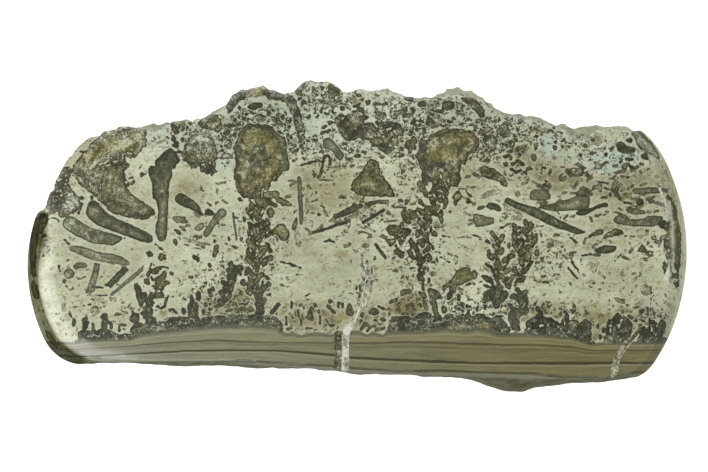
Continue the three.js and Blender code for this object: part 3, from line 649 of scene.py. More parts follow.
draw("olive growth", patch(14.6, 8.2, 15.3, 9.4, 17, 7.6, 16.2, 7.2),
    patch(17.3, 10.3, 19.3, 12.8, 20.8, 13, 22.2, 11.9, 22.3, 10.3, 21.8, 9.3, 22.6, 8.2, 21.4, 6.5, 20.9, 7,
        21.2, 8.2, 20.3, 8.9, 19, 8.2, 17.7, 8.7),
    patch(22.9, 9.7, 24.7, 11.4, 25.4, 10.5, 25.6, 9.2, 24.8, 8.8, 24.1, 7.2, 23.5, 8.1, 23.7, 9),
    patch(16.1, 5.7, 16.2, 6.9, 17, 7.7, 18, 7, 19.2, 8.1, 20.3, 7.7, 21.2, 4.6, 20.8, 3, 20.2, 3.2, 20, 4.7,
        19.2, 5.2, 17.2, 4.8))
shade(0.43, 1.0, 2.0, lobe(20.3, 19.9, 3.4, 2.0), lobe(24.8, 23.8, 2.8, 1.4),
    rod(2, 20, 14, 20.4, 9.6, 19.4, 7))
shade(0.75, 0.9, 0.8, lobe(19, 22.9, 0.7, 1.1, -20), lobe(22.6, 22.7, 1.5, 0.5, -10),
    rod(0.7, 21, 24.4, 21.4, 23))
shade(0.06, 0.0, 1.2, lobe(20.4, 17, 2.6, 1.1), lobe(16.2, 21, 0.9, 2.4), rod(1.2, 17, 16.4, 16.6, 13.8))
shade(0.85, 0.5, 0.5, patch(17.3, 22, 17.8, 23.6, 19.2, 24, 19.9, 22.8, 19, 21.8, 18, 21.4),
    patch(21.6, 22.6, 22.4, 23.8, 24.2, 23.4, 24.4, 22.4, 22, 21.8))
shade(0.3, 0.4, 0.3, rod(0.2, 18, 21.8, 18.9, 23.4), rod(0.2, 22, 22.6, 23.8, 22.8))
shade(0.9, 0.4, 0.3, rod(0.3, 16.7, 15.4, 17.4, 13.2), lobe(20.6, 16.2, 0.25, 0.7),
    lobe(23.7, 18.4, 0.35, 1.0), rod(0.3, 24.6, 15.4, 24, 16.6), lobe(22.1, 16.2, 0.25, 0.5),
    rod(0.3, 26.6, 21.2, 27.6, 22.4), rod(0.25, 18.9, 14.6, 19.4, 12.6), rod(0.25, 25, 19.8, 26, 19))
cut(patch(17.4, 13.6, 18.4, 12.7, 18.2, 11.8, 17.3, 12.1), rod(0.3, 20.5, 15, 20.6, 13.8),
    rod(0.25, 22.2, 14.2, 22.6, 12.4), rod(0.3, 17.6, 9.9, 18.6, 10.2, 19.2, 9.6))

# %% The second tree: its trunk, and the bird-shaped branch
draw("growth", patch(10.5, 6, 12.7, 6.7, 14, 6.3, 14.7, 5.6, 14.7, 4.5, 12, 2.3),
    patch(7.4, 2.5, 8.2, 3, 12.5, 2.2, 13.2, 1.6, 13.1, 0.6, 11.8, -0.1, 11.9, -1.1, 11.2, -1.3, 9.6, 0.1,
        8.6, 0.1, 7.7, 0.9),
    patch(6.9, -0.5, 9.2, -0.4, 9.8, -1.2, 8.6, -2.3, 7.8, -2.3),
    patch(8.9, -3.2, 9.8, -2.7, 10.9, -3.2, 11.7, -4.4, 11.2, -5.6, 9.2, -4.3), rod(1, 15.3, 4.1, 17.2, -0.8),
    rod(1.2, 17.7, 4, 17.9, 1.6), lobe(18.9, 0.5, 0.6, 0.8, 30),
    patch(14.1, 0.8, 14.8, 2.3, 17.1, -1.8, 16, -1.9, 14.4, -0.3), rod(0.8, 17.3, -1.2, 18.7, -2.9),
    patch(12.6, -1, 13.2, -0.1, 13.9, -0.8, 14.9, -3.3, 14, -3.3, 12.9, -2.3),
    rod(1.1, 12.8, -3.6, 13.7, -5.2), rod(0.9, 14.8, -2, 14.8, -4.4, 15.5, -9.4),
    patch(15, -6, 15.6, -4.2, 16.8, -3.5, 18.7, -4.9, 18.2, -5.9, 17.3, -6.3, 16.5, -6, 15.8, -6.6),
    lobe(16.6, -7.9, 1.1, 0.95), lobe(15.6, -10.4, 0.75, 1.1), lobe(16.1, -12.3, 0.5, 0.9),
    lobe(17.6, -10.6, 0.35, 0.65), rod(1.3, 11.2, -13.7, 12.6, -13.3),
    patch(7.8, -16.3, 8.4, -15.3, 10.6, -14.4, 10.2, -15.4, 9.2, -16.2), rod(0.5, 26.2, -12.2, 27.5, -11.4),
    lobe(24.9, -14.7, 0.5, 0.7), lobe(12.5, -15.4, 0.5, 0.25), rod(0.25, 20.4, -5, 22.6, -6.2))
draw("flake", rod(0.85, 4.7, -2, 7, -5.1))
draw("olive growth", patch(14.9, -13.3, 16, -13.3, 17.3, -14.6, 16.5, -15.3, 15.5, -14.6),
    patch(20.7, -13, 20.8, -12, 23, -10.7, 23.2, -9.7, 25.1, -7.6, 27.6, -7.4, 28, -8.3, 28.4, -7.7,
        29.2, -8.2, 29.5, -9.2, 28.9, -10.3, 25, -11.7, 24.3, -12.3, 24.3, -13.6, 23.5, -13.8, 23.4, -14.9,
        22.4, -15.5, 21.7, -14.9, 22.8, -12.4, 22, -12.4, 21.2, -13.6))
shade(0.1, 0.15, 0.8, rod(1.4, 23.2, -12.6, 22.6, -14.9), rod(0.5, 15.2, -4.6, 15.4, -7.6))
shade(0.65, 0.5, 0.4, lobe(16.4, -7.9, 0.4, 0.3), lobe(8.5, -1.1, 0.4), lobe(12.4, 5.2, 0.35),
    lobe(10.2, -4.2, 0.4, 0.6))
cut(rod(0.3, 15.7, 3.9, 17.5, -0.2), rod(0.3, 17, 4.4, 17.6, 0.6), rod(0.25, 15, 2.2, 15.5, 1.4),
    rod(0.25, 28, -7.4, 28, -8.4), rod(0.25, 12.4, 1.6, 11.8, 0.8))
apart("growth", *leaves(11, 1.35, 2.1, 1.25, 16.4, 5.4, 16.4, 0, 16, -5, 16, -11),
    *leaves(12, 1.3, 1.7, 1.05, 21.6, 12, 20, 8, 18.4, 5),
    *leaves(13, 1.4, 1.6, 1.1, 12.4, 4.6, 11, 0, 10, -4))
draw("grey growth",
    patch(17.2, -13.2, 17.2, -12.2, 19.8, -13, 20.8, -14.4, 21.2, -15.3, 19.2, -14.9, 20, -18.4, 21, -20,
        19, -20),
    rod(0.9, 16.3, -15.5, 17, -17.5), lobe(21.3, -17.8, 0.7, 1.0), rod(0.8, 24.2, -17.2, 25.9, -18.1),
    lobe(29.4, -17.3, 0.4, 0.8))
shade(0.5, 0.8, 0.4, lobe(21.3, -17.6, 0.35, 0.5))

# %% Rings and lumps along the top, right of the middle
draw("mottled growth", rod(0.7, 4.3, 32.2, 7.4, 32.2), rod(0.8, 4.7, 32, 4.8, 30.2),
    lobe(5.8, 29.2, 1.3, 1.2), lobe(1.2, 29.1, 1.3, 0.7),
    rod(0.9, 10.9, 30.6, 11.6, 29.6, 12.6, 29.2, 13.5, 29.9, 13.8, 30.9), lobe(12, 30.8, 0.9, 0.5),
    patch(11.4, 34.1, 12.5, 34, 14, 33.6, 13.6, 32.6, 12.7, 32.7),
    patch(15, 33, 16, 33, 16.8, 32, 16.4, 31.1, 15.4, 31.7), lobe(18.4, 31.2, 0.6, 0.9),
    rod(0.7, 18.6, 30.6, 20.9, 30.4), lobe(9.8, 30, 0.9, 0.7), lobe(9.1, 28.8, 0.7, 0.5),
    patch(16.6, 27.2, 17.3, 28.4, 17.1, 29.9, 18.2, 28.7, 20, 28.8, 20.9, 27.9, 20.6, 27, 19.8, 26.5,
        18, 26.3),
    patch(20.7, 32.6, 21.8, 33.1, 24.2, 31.2, 22.5, 30.9, 21, 31.1), lobe(-0.2, 30.1, 0.5, 0.45),
    lobe(12, 26.2, 0.5), lobe(2.8, 32.8, 0.4, 0.6), lobe(1, 31, 0.6, 0.4), lobe(-0.5, 35.5, 0.7, 0.5),
    lobe(30.6, 25.3, 1.1, 0.9), lobe(32.5, 23.2, 1.75, 1.6), lobe(32.2, 26.2, 0.9, 0.45),
    rod(0.5, 20, 27, 22.5, 26.8), lobe(12, 28, 0.7, 0.4),
    patch(33.7, 24.3, 34.5, 23.7, 37.2, 24.4, 37.6, 25.6, 37, 26.8, 36, 27.6, 34.7, 27),
    rod(0.45, 36.4, 27.8, 37.4, 27.2, 37.7, 26.6), lobe(19.3, 32.6, 0.6, 0.4), lobe(8.4, 30.3, 0.35, 0.5))
shade(0.55, 0.15, 0.7, lobe(18.6, 27.7, 1.2, 0.9), lobe(22.3, 32, 1, 0.6), lobe(32.5, 23.1, 0.9),
    lobe(36, 25.6, 1.1), lobe(5.8, 29.3, 0.6), lobe(12.4, 30.5, 0.5))
cut(rod(0.35, 33.9, 24.9, 35, 24.2, 36.2, 24.6), rod(0.3, 17.2, 28.2, 18.3, 28.4), lobe(12.7, 31, 0.4, 0.5),
    rod(0.3, 4.9, 31.4, 7, 30.6), rod(0.3, 18.6, 26.9, 19.6, 27.4))
draw("grey growth", lobe(12.6, 33.5, 1.2, 0.6), lobe(15.9, 32.2, 1.0, 0.8), lobe(22.4, 31.8, 1.6, 1.2),
    lobe(1.8, 28.9, 1.2, 0.7))
draw("growth", patch(24.9, 33.7, 26.8, 34, 29, 33.6, 31.2, 30.6, 31, 28.8, 29.7, 28.7, 29.4, 30.1),
    patch(29.5, 16.5, 31.2, 17.1, 32.8, 16.8, 34.4, 15.8, 36.8, 13.2, 36.4, 11.6, 34.2, 13.6, 30.4, 14.6),
    patch(27.7, 15, 28.6, 16, 29.7, 14.3, 28.6, 14.7), rod(0.45, 26.8, 10.8, 27.9, 9.8),
    patch(26.6, 9.3, 27.3, 9.2, 28.4, 8.2, 27, 7.9))
shade(0.5, 0.2, 0.6, lobe(28.1, 31.4, 1.2, 0.6, -30))
draw("faint flake", patch(29.4, 8.9, 30.8, 10.6, 32.5, 11.4, 35.4, 11.6, 35.6, 10.7),
    lobe(39.2, 10.4, 0.7, 0.8), rod(0.6, 35.8, 8, 37, 6))
draw("flake", chip(28.4, 3.6, 28.4, 5.5, 29.2, 5.5, 33.4, 4.5, 33.4, 3.2, 31.8, 2.6, 29, 2.2),
    lobe(30.2, 7, 0.9, 0.5, 20))
draw("dark flake", patch(31.1, 7.1, 32.3, 8.3, 33.8, 8.2, 35.4, 6.8, 35.1, 5.9),
    patch(35.8, 8.2, 36.2, 9.5, 37.2, 9.4, 39, 8.3, 44.5, 6.7, 49, 4.1, 56.1, 1, 53.8, 0.5, 49, 1.9))
shade(0.5, 0.2, 0.3, rod(0.4, 47.6, 4.4, 49.2, 2.8), rod(0.3, 37, 8.4, 44.6, 5.6))
draw("dark growth", rod(0.35, 34.6, 1.9, 36, 2.4), rod(0.25, 20.8, 0.2, 22.4, -0.1),
    rod(0.25, 24.4, -0.3, 26.2, -0.1), rod(0.3, 28, 0.3, 29.4, 0.1, 30.6, -0.4), lobe(34.6, 28.6, 0.3, 0.6))

# %% The third tree
draw("growth",
    patch(32.8, -6, 33.5, -4.8, 33.3, -1.2, 34.3, -0.3, 35, -1, 34.7, -5.4, 37.4, -10.8, 37.7, -12.6, 37, -13,
        36, -12.2),
    patch(31.6, -4.6, 31.6, -3, 32.5, -2.9, 33.1, -5.8, 32.3, -5.7),
    rod(0.9, 32.6, -7.6, 33.6, -9.2, 34.4, -11.4), rod(0.5, 31.4, -6.6, 32.4, -7.6),
    patch(30.4, -9.2, 32.8, -9.8, 33.4, -11, 31.4, -11.2, 30.5, -10.3), rod(0.6, 31.2, -12, 32.8, -12.4),
    patch(36.2, -4.7, 37.3, -3.9, 38.7, -4.1, 38.5, -5.2, 37, -5.8), lobe(37, -2.4, 0.4, 0.6),
    rod(0.8, 36.8, -5.9, 35.9, -7.4),
    patch(37.5, -2.4, 38.8, 2.2, 39.8, 2.6, 40.6, 1.8, 40.3, 0.4, 38.7, -2.3),
    patch(40.9, 0.9, 41.3, 1.9, 41, 3.3, 42.9, 3.1, 42.3, 1.9, 43, 0.8, 42.2, -0.2),
    patch(41.4, -1.1, 43.2, -0.1, 43.6, 1.2, 44.3, 0.2, 43.9, -1.4, 42.8, -2.9, 41.9, -2.3),
    patch(38.8, -2.4, 39.9, -0.4, 40.9, -0.2, 40.9, -5.4, 40.6, -7.2, 39.8, -7.6, 39.3, -6.4, 39.5, -3.6),
    rod(0.55, 41.5, -2.4, 42.1, -4.2, 42.1, -5.8),
    patch(39.4, -8.4, 42.4, -5.8, 43.2, -5.8, 41.3, -9, 40.2, -9.2),
    patch(37.4, -8, 38.4, -6.9, 39.8, -9.3, 41.2, -9.6, 41.2, -10.6, 40.3, -11.4, 37.9, -9.8),
    rod(0.6, 38.5, -12, 38.8, -10.9, 39.7, -10.9), lobe(43.8, -4, 0.65, 0.85))
shade(0.4, 0.8, 0.8, lobe(39.3, 1, 0.6, 0.9), lobe(43.2, -1, 0.5, 0.9), lobe(40.1, -2, 0.4, 1),
    lobe(34.3, -1.6, 0.5))
cut(rod(0.3, 32.9, -2.2, 33.6, -4.6, 36.2, -8.8), rod(0.25, 33.4, -8, 34.6, -10), rod(0.3, 40, 0.6, 41, -1.2),
    rod(0.25, 41.6, 0.9, 42.4, -0.6), rod(0.25, 38.2, -9.2, 39.6, -10.4), rod(0.25, 40.2, -3, 40.3, -5))
apart("olive growth", *leaves(8, 1.2, 2.4, 1.3, 34.4, -1, 34.4, -5, 35.6, -9, 37, -12),
    *leaves(9, 1.2, 2.3, 1.3, 41.6, 2, 41, -3, 40.6, -8),
    *leaves(10, 1.3, 1.8, 1.2, 38.6, 1.4, 39.2, -3, 40, -6))
draw("grey growth",
    patch(30.3, -15.8, 31.2, -12.9, 32.4, -13.1, 33.4, -11.9, 34.6, -11.8, 35.2, -13, 36.9, -13.3,
        37.1, -14.5, 35.2, -16.2, 34.6, -17.6, 33.2, -17.4, 32.9, -16, 31.8, -15.8, 31.3, -16.7),
    patch(37.1, -15.3, 37.1, -14.2, 38.2, -13.5, 39.3, -14.3, 40.5, -13.2, 41.4, -14, 42, -18, 41.4, -19.1,
        40.2, -19.3, 39.1, -18.6, 39.5, -17, 39.2, -16, 38.4, -15.3),
    patch(36.5, -19, 37.9, -16.8, 38.8, -17.4, 39.8, -22, 39.3, -23.4, 37.8, -22.7),
    rod(0.7, 33.7, -19.7, 35.6, -19.3), rod(0.4, 43, -16.8, 43.8, -15.8), lobe(44, -17.6, 0.6, 0.8))
overlapping("grey growth",
    leaves(23, 0.8, 1.9, 1.3, 33.6, -12.6, 33.8, -16.6) + leaves(24, 0.8, 1.9, 1.3, 40, -14, 40.6,
        -18.6) + leaves(29, 0.9, 1.5, 1.1, 38, -17.4, 38.6, -21.6))

# %% Flakes and lumps of the right end
draw("flake", patch(41.8, 9.9, 42.4, 11.1, 43.6, 11.6, 45.8, 11.4, 46.7, 10.8, 47.4, 9, 42.5, 8.6))
draw("faint flake", lobe(57.6, 23.8, 2.4, 1.6), lobe(57.6, -7.8, 0.8, 1))
draw("pale flake", patch(48.8, 13.4, 50, 14.7, 51.2, 14.9, 50.8, 13.3))
draw("flake", patch(43.5, 7, 52.5, 9.3, 53, 9.8, 56.3, 10.1, 56.8, 9.2, 56.5, 6.9, 54.5, 6.4, 48, 6),
    patch(52.9, 9.7, 53.6, 11, 55, 11.7, 56.4, 10.9, 56.5, 10.1))
shade(0.2, 0.5, 0.8, rod(1.2, 44.5, 7.2, 48.5, 7.7))
draw("dark flake",
    patch(53.1, 5.5, 54, 6.4, 56.5, 6.7, 60.2, 8.4, 61.3, 7.8, 60.6, 7.1, 58.5, 6.9, 55.5, 5.1, 54, 5),
    patch(57.3, -3.3, 60.5, -1.9, 61.8, -2.4, 63.4, -2.2, 62.8, -3.8, 59, -4.3))
draw("growth", patch(56.1, 0.1, 59.2, 2.1, 60.1, 1.2, 59.4, 0.3, 57.4, 0.1, 56.3, -0.6),
    patch(59.9, -0.8, 60, 0.1, 61.3, 1.4, 63.4, 2, 64.6, 1.4, 64.4, 0.3, 62.5, 0.2))
shade(0.45, 0.4, 0.4, rod(0.3, 61.2, 0.6, 63.6, 1), rod(0.3, 57.2, 0.5, 59.2, 1.2))
draw("flake", patch(66.7, 11.2, 67.6, 11.8, 73, 12, 76, 11.4, 76.2, 10.7, 67.8, 10.2),
    patch(62.2, 3.8, 62.9, 5, 64.5, 5.6, 65.7, 5.1, 66.2, 4.1, 70, 4.3, 70.5, 5.1, 74.6, 5, 74.2, 3.4,
        72.5, 2.4, 67.5, 2.4, 63.4, 3),
    patch(65.2, 6.5, 66, 7, 70, 6.4, 70.2, 5.5, 68, 5.2, 66, 5.7),
    chip(68.1, -3.6, 69.4, -1.6, 71, -4.1, 69.2, -4), lobe(71.5, 8.5, 0.8, 0.55),
    rod(0.8, 62.9, 10, 64.1, 9.5), patch(42.1, 19.7, 43.3, 20.3, 44, 18.9, 43, 17.8))
draw("dark flake", patch(73.1, 2.8, 74, 3.9, 75.2, 4.1, 75.9, 2.8, 75.3, 1.8, 74.2, 1.8),
    lobe(68.8, 8.4, 0.9, 0.85), patch(51.7, 15.3, 52.4, 16.6, 53.3, 15.5, 56.4, 15.5, 56.8, 14.2),
    rod(0.4, 45.1, 11.9, 46.3, 13.3), rod(0.3, 45.2, 12.6, 46.4, 12.2))
draw("growth", rod(0.4, 63.8, 9.1, 64.8, 8.4, 66.6, 8, 67.8, 7.2), rod(0.4, 60.2, 11.8, 62.6, 11),
    rod(0.3, 58.5, 13.4, 61, 12.8), lobe(66.2, 18.8, 0.9, 0.5),
    patch(64.3, 17.4, 65.4, 18, 66.6, 17.6, 65.6, 17, 65.4, 16.1, 64.4, 16.3), lobe(66.9, 16.8, 0.6, 0.35),
    rod(0.45, 64.4, 14.6, 66.2, 14.4), lobe(72.2, -0.3, 0.5), lobe(44.9, 0.3, 0.35, 0.5),
    rod(0.35, 51.8, -0.3, 53.4, -1.4), rod(0.35, 45.2, -11, 46.4, -11, 47, -11.9),
    rod(0.4, 51.6, -4.5, 52.7, -6.8, 54.1, -8.9), rod(0.4, 51.4, -7.4, 52.5, -9, 53.6, -10.1),
    rod(0.3, 54.8, -4.6, 57, -4.3), lobe(41.9, 16.4, 0.9, 0.45), lobe(43.6, 22, 0.4, 0.9),
    lobe(43.5, 24.3, 0.5, 0.4), lobe(48, 22.9, 0.5, 0.4), lobe(48.3, 21.5, 0.5, 0.6),
    lobe(60.4, 20, 0.4, 0.5), lobe(57.3, 23.4, 0.5, 0.4), lobe(45.4, 16.7, 0.5, 0.35))
draw("brown flake", chip(62.1, -14.7, 65.3, -15.2, 65, -16.5, 63, -15.6))
draw("faint flake", patch(68.8, -12, 70, -11.2, 71.2, -12, 71.4, -14, 70, -14.4, 69, -13.6),
    rod(0.8, 46, -1, 50, -1.6), lobe(75, -2.6, 0.6, 1.6), lobe(75.4, -8.2, 0.6, 1.4),
    lobe(41.3, 14, 0.9, 0.6))
draw("growth", rod(0.7, 35.8, 19.4, 37, 19.8, 37.6, 18.8), rod(0.8, 37.8, 17.6, 39.2, 18.4, 40.6, 17.4),
    rod(0.7, 37.4, 16.4, 38.6, 15.6, 39.8, 16), lobe(36.2, 17.6, 0.6, 0.5), lobe(39.4, 19.8, 0.5, 0.4),
    lobe(40.8, 15.6, 0.5, 0.4))
draw("mottled growth", lobe(53.4, 15.7, 2.4, 0.9, -8))
draw("dark growth",
    patch(62.9, 21.7, 63.2, 22.9, 64.8, 23, 65.3, 22, 67.4, 21.7, 68, 20.9, 67, 20.1, 64, 20.1),
    lobe(66.3, 23.3, 0.8, 0.6), lobe(70, 19.4, 1, 0.8))
draw("dark growth", lobe(75.9, 9.4, 0.35, 0.7, 20))
draw("grey growth",
    patch(66.6, 24.9, 67.2, 26.4, 68.8, 26.4, 72.8, 21.8, 74.2, 19, 73.4, 18.6, 71.4, 20.4, 70.4, 20.4,
        68.2, 21.7, 67.6, 24))
shade(0.52, 0.0, 0.6, rod(3.4, 68, 25.6, 72.4, 20.8))
shade(0.15, 0.1, 0.3, rod(0.3, 68.6, 25.8, 71.4, 23, 73.6, 19.4))

# %% Sparry veins and the crack through the base
draw("growth", patch(76.3, 9.7, 77.4, 8.6, 78.9, 1, 79.1, -2.4, 78.1, -12.7, 77.2, -12.9, 77.2, -2))
shade(0.12, 0.8, 0.6, rod(1.1, 77.2, 7.6, 77.8, 2, 78, -3, 77.6, -12))
draw("growth", rod(0.25, 74.1, 17.2, 76.1, 11.5), lobe(75.2, 2.4, 0.7, 1.0), lobe(75.3, -1.8, 0.8, 1.3),
    lobe(75.6, -4.6, 0.5, 0.9), lobe(74.9, -7.6, 0.6, 1.3), lobe(77.6, -9.6, 0.9, 1.1),
    lobe(77.7, -11.8, 0.6, 0.8))
draw("flake", rod(1, 76.9, 4, 77.1, 0, 76.7, -4.6))
draw("clear crystal", rod(0.5, 73.6, 11.6, 75.4, 7.4), rod(1.05, 75.4, 7.4, 76.3, 4.6, 76.8, 1.8, 77, -1.4),
    rod(1.15, 77, -1.4, 76.6, -4.6, 75.5, -9.6), lobe(75.5, -10.2, 0.8, 1.0))
shade(0.8, 0.1, 0.6, rod(0.5, 76.9, -3.4, 76.3, -7.6))
draw("vein wall", rod(1.3, -4.5, -23.4, -4.6, -29, -4.4, -33.4))
draw("crystal",
    patch(-3.7, -32.8, -1.9, -32.8, -1.9, -25.5, -1.5, -22.6, -0.2, -20.8, -0.5, -20, -3.3, -22.4))
shade(0.62, 0.1, 0.5, lobe(-2.8, -25.6, 0.5, 1.2), lobe(-2.7, -30.4, 0.5, 1.4))
draw("mottled spar", patch(0.2, -16, 1.2, -10, 1.2, -5.2, 2.6, -5.8, 3.8, -8.4, 4, -11, 2.8, -17, 1, -18))
draw("vein wall", rod(0.3, 1.2, -4.4, 2.2, -6.4), rod(0.25, 4.6, -4.6, 3.6, -7, 3.6, -9),
    rod(0.3, 0.6, -15, 1, -11.4))
draw("clear crystal", rod(0.3, 1.8, -5.6, 2.2, -7.4, 2.3, -9.6, 2, -12, 0.6, -18, -0.4, -20.2),
    rod(0.15, 3.2, -6, 3.4, -9.4, 3, -12.6))
draw("vein wall", rod(0.9, 68.9, -22.6, 65.6, -26, 64.6, -27.4, 63.2, -29.4, 62.4, -33.7))
shade(0.42, 0.9, 0.4, rod(0.7, 68.9, -22.6, 65.6, -26, 64.6, -27.4, 63.2, -29.4, 62.4, -33.7))
draw("crystal", rod(0.15, 68.2, -22.6, 65, -25.9, 64, -27.2, 62.6, -29.4, 61.8, -33.6),
    rod(0.15, 69.6, -22.8, 66.2, -26.2, 65.2, -27.6, 63.8, -29.6, 63, -34))
shade(0.6, 0.4, 0.6, rod(1.4, 65, -26.6, 64.4, -27.4, 63.2, -29.4, 62.4, -34))
draw("growth", rod(0.12, 71.6, -12, 71.3, -20, 71.7, -26))

# %% The hedge of small growths along the base
draw("hedge",
    patch(-55.4, -23, -54, -22, -50, -20.9, -30, -19.1, -20, -19.3, -18.5, -20.2, -17.9, -21.6, -18.1, -23,
        -19.6, -21.8, -22, -21.2, -34, -21.3, -50, -23.3, -53, -24, -55, -25.2),
    patch(7.6, -22.8, 8.4, -19.3, 14.1, -19.6, 15.2, -18.5, 17.2, -18.3, 19.2, -20.1, 21.7, -19.4,
        22.6, -18.5, 23.8, -19.2, 25, -18.8, 26.6, -19.2, 27.4, -17.2, 27.9, -19.9, 30, -18.3, 32.4, -20.1,
        34.2, -18.9, 37.4, -22, 37, -23.3, 34.4, -23.4, 29.3, -21.4, 26.8, -22.6, 21.7, -21.7, 15.4, -22.6),
    patch(41, -22, 41.2, -20.4, 43.9, -19.2, 44.2, -18, 45, -18, 45.3, -19.4, 47.5, -19.8, 48.8, -21.2,
        49.6, -21, 50.4, -17.6, 51.2, -17.8, 51.6, -20.6, 52.3, -20, 53.7, -20.2, 54, -21.4, 54.8, -20.2,
        56.4, -20.2, 57.1, -21.4, 56.9, -23.8, 57.4, -26.2, 52, -24.4, 42, -23.8),
    patch(60.2, -26, 60.6, -21.2, 61.2, -20, 61.9, -20.4, 63.4, -18, 67, -20.8, 66.8, -23.6, 66, -25,
        64, -25.8),
    patch(68, -25.8, 69.2, -22.2, 69.9, -21.8, 70.7, -22.4, 71.1, -20.6, 71.9, -19.8, 72.7, -20.8,
        72.9, -22.6, 73.5, -20.8, 74.5, -19.9, 75.4, -20.6, 75.1, -24, 74, -25, 70, -26))
draw("dark growth", rod(0.6, 50.7, -18.2, 50.9, -21.4), rod(0.55, 71.7, -20.8, 72, -23.2),
    rod(0.6, 75, -21, 74.6, -23.6), rod(0.6, 60.9, -21.2, 61.2, -23), lobe(63.6, -19.9, 1.1, 1.5),
    lobe(44.6, -18.8, 0.7, 0.9), rod(0.5, 42.4, -20.8, 42.8, -22.4), rod(0.45, 47.6, -20.6, 47.9, -22.4))
shade(0.03, 0.1, 0.8, rod(1.6, 42, -22.2, 56, -23), rod(1.8, 62, -22.4, 65, -23.6),
    rod(1.6, 70, -23.8, 75, -23.4))
draw("grey growth", patch(54.7, -22.4, 54.8, -20.2, 56.4, -20.3, 57, -22, 56.8, -24.4, 55.4, -24.4),
    patch(2.7, -18.5, 3.6, -17.1, 4.8, -17.3, 5.7, -18.3, 5, -19.1, 3.5, -19.1),
    rod(0.6, 5.5, -17, 6.6, -17.7), rod(0.8, 1.2, -22.6, 2, -21.1, 2.7, -21.6),
    rod(0.6, 2.6, -23, 3.4, -22, 4.5, -21.7), rod(0.8, 4.8, -22.7, 6.6, -22.3), lobe(6.3, -20.2, 0.7, 0.5),
    lobe(1.4, -19.2, 0.4, 0.7), lobe(4.5, -20.4, 0.5, 0.3), lobe(-15.8, -16.8, 0.35, 0.8),
    patch(-12.7, -19.6, -11.7, -18.5, -11.2, -16.7, -10.2, -17.5, -10.7, -18.8, -10.1, -20.3, -11.2, -20.5),
    lobe(-6.5, -15.8, 0.6, 0.5), rod(0.8, -6.9, -16.9, -5.3, -18.6), lobe(-4.4, -16.7, 0.4, 0.85),
    lobe(-3.4, -16.7, 0.4, 0.6), patch(-2.9, -18.8, -1.9, -15.9, -1.1, -16.4, -0.5, -19.1, -1.5, -19.5),
    rod(0.5, -17.1, -19.6, -17, -21.4), rod(0.5, -14.2, -18, -14, -19.6),
    rod(0.45, -13.6, -20.2, -13.4, -21.6), rod(0.5, -8.8, -19.4, -8.9, -21.2),
    rod(0.4, -16.2, -18.6, -15.4, -19.8), rod(0.4, -7.6, -20, -6.6, -21.4), lobe(-9.2, -18.2, 0.3, 0.5),
    lobe(-16.4, -22.4, 0.7, 0.3), lobe(-11.4, -22.3, 0.8, 0.3), lobe(-5.8, -21.6, 0.6, 0.4),
    lobe(-7.6, -22.6, 0.6, 0.25), lobe(-12.8, -17.2, 0.25, 0.5), rod(0.3, 38.2, -23.4, 39.8, -22.6),
    lobe(58.6, -21.8, 0.35, 0.6), lobe(60.1, -22.7, 0.4, 0.7), lobe(59.2, -24.4, 0.4, 0.7))
shade(0.5, 0.9, 0.5, patch(52.2, -19.9, 53.8, -20.1, 54, -21.6, 52.4, -21.6), lobe(24, -22, 2, 0.5),
    lobe(30.6, -21.8, 2.2, 0.6))
cut(rod(0.3, 50.3, -19, 50.4, -20.6), lobe(45, -21.6, 0.6, 0.35), rod(0.25, 64.2, -20.2, 63.6, -22.2),
    rod(0.25, 71.8, -21.4, 71.6, -23.2), lobe(18.6, -20.8, 0.5, 0.3), rod(0.25, 65.8, -20.8, 65.2, -22.4),
    rod(0.25, 72.8, -23, 72.6, -24.6), rod(0.25, 61.8, -21.4, 61.6, -23.4))

# %% [markdown]
# ## The ground between the marks
#
# Lime mud settled round the growths, a little greener or warmer from place to place. Near the growths it is
# full of dark specks, crumbs that fell off them. Both are drawn as soft areas, and the material breaks them
# into grains. Below the hedge the stone is bedded, so each vertex there knows which bed it is in.

# %% Tints of the mud and areas of specks


def tint(light, warm, soft, *shapes):
    """Changes the mud softly over so many mm: darker to lighter, and blue-green to ochre, from -1 to 1."""
    marks.append(("tint", (light, warm, soft), shapes))


def speckle(amount, soft, *shapes):
    """Raises the share of dark specks in the mud, softly over so many mm."""
    marks.append(("specks", (amount, soft), shapes))


tint(-0.25, 0.8, 3, lobe(-30, -16.2, 6.5, 3.6), lobe(-10.5, -20.2, 8.5, 3.6), lobe(3.4, -20, 4.6, 3.6),
    lobe(12.6, -17.4, 4.2, 2.4), lobe(44.8, -18.4, 4.4, 2), lobe(57.6, -21.6, 4.4, 4.6))
tint(-0.1, 0.5, 4, lobe(-41, 11.8, 4, 3.4), lobe(-7.6, 12.2, 7.5, 6), lobe(27.4, 14, 3, 7))
tint(-0.2, 0.35, 5, lobe(47, 17, 11, 5), lobe(62, 13, 13, 4), lobe(64, 4, 11, 5), lobe(-62, 22, 9, 4, 40))
tint(-0.22, 0.3, 4, patch(40, 21, 48, 18, 58, 15.6, 68, 15, 76, 17, 78, 8, 70, 6, 60, 8, 50, 11, 42, 13))
tint(0.15, -1.3, 2.4, lobe(60.6, 17.8, 3.6, 2.4), lobe(65, 19, 2.4, 1.6))
tint(0.1, -0.6, 2.4, lobe(47, 21.8, 3.4, 2.6), lobe(51, 19, 3, 1.4), lobe(68.4, 20.4, 2, 1.6))
# Painted highlight: a pale line along the outer edge of the rounded right end
tint(0.3, -0.15, 1.6, rod(1.4, 80.2, 4, 80.2, -8, 78.6, -18, 76, -26))
tint(0.1, -0.45, 4, lobe(-32, 17.4, 2.6, 2.4), lobe(-47.6, 24, 5, 2.4), lobe(-6, 25, 13, 4),
    lobe(60, 18.6, 7, 3.4), lobe(47, 19.6, 3, 3))
tint(-0.05, -0.25, 12, patch(-56, 25, -30, 17, -10, 24, 10, 22, 32, 24, 50, 28, 44, 48, -44, 48, -60, 34))
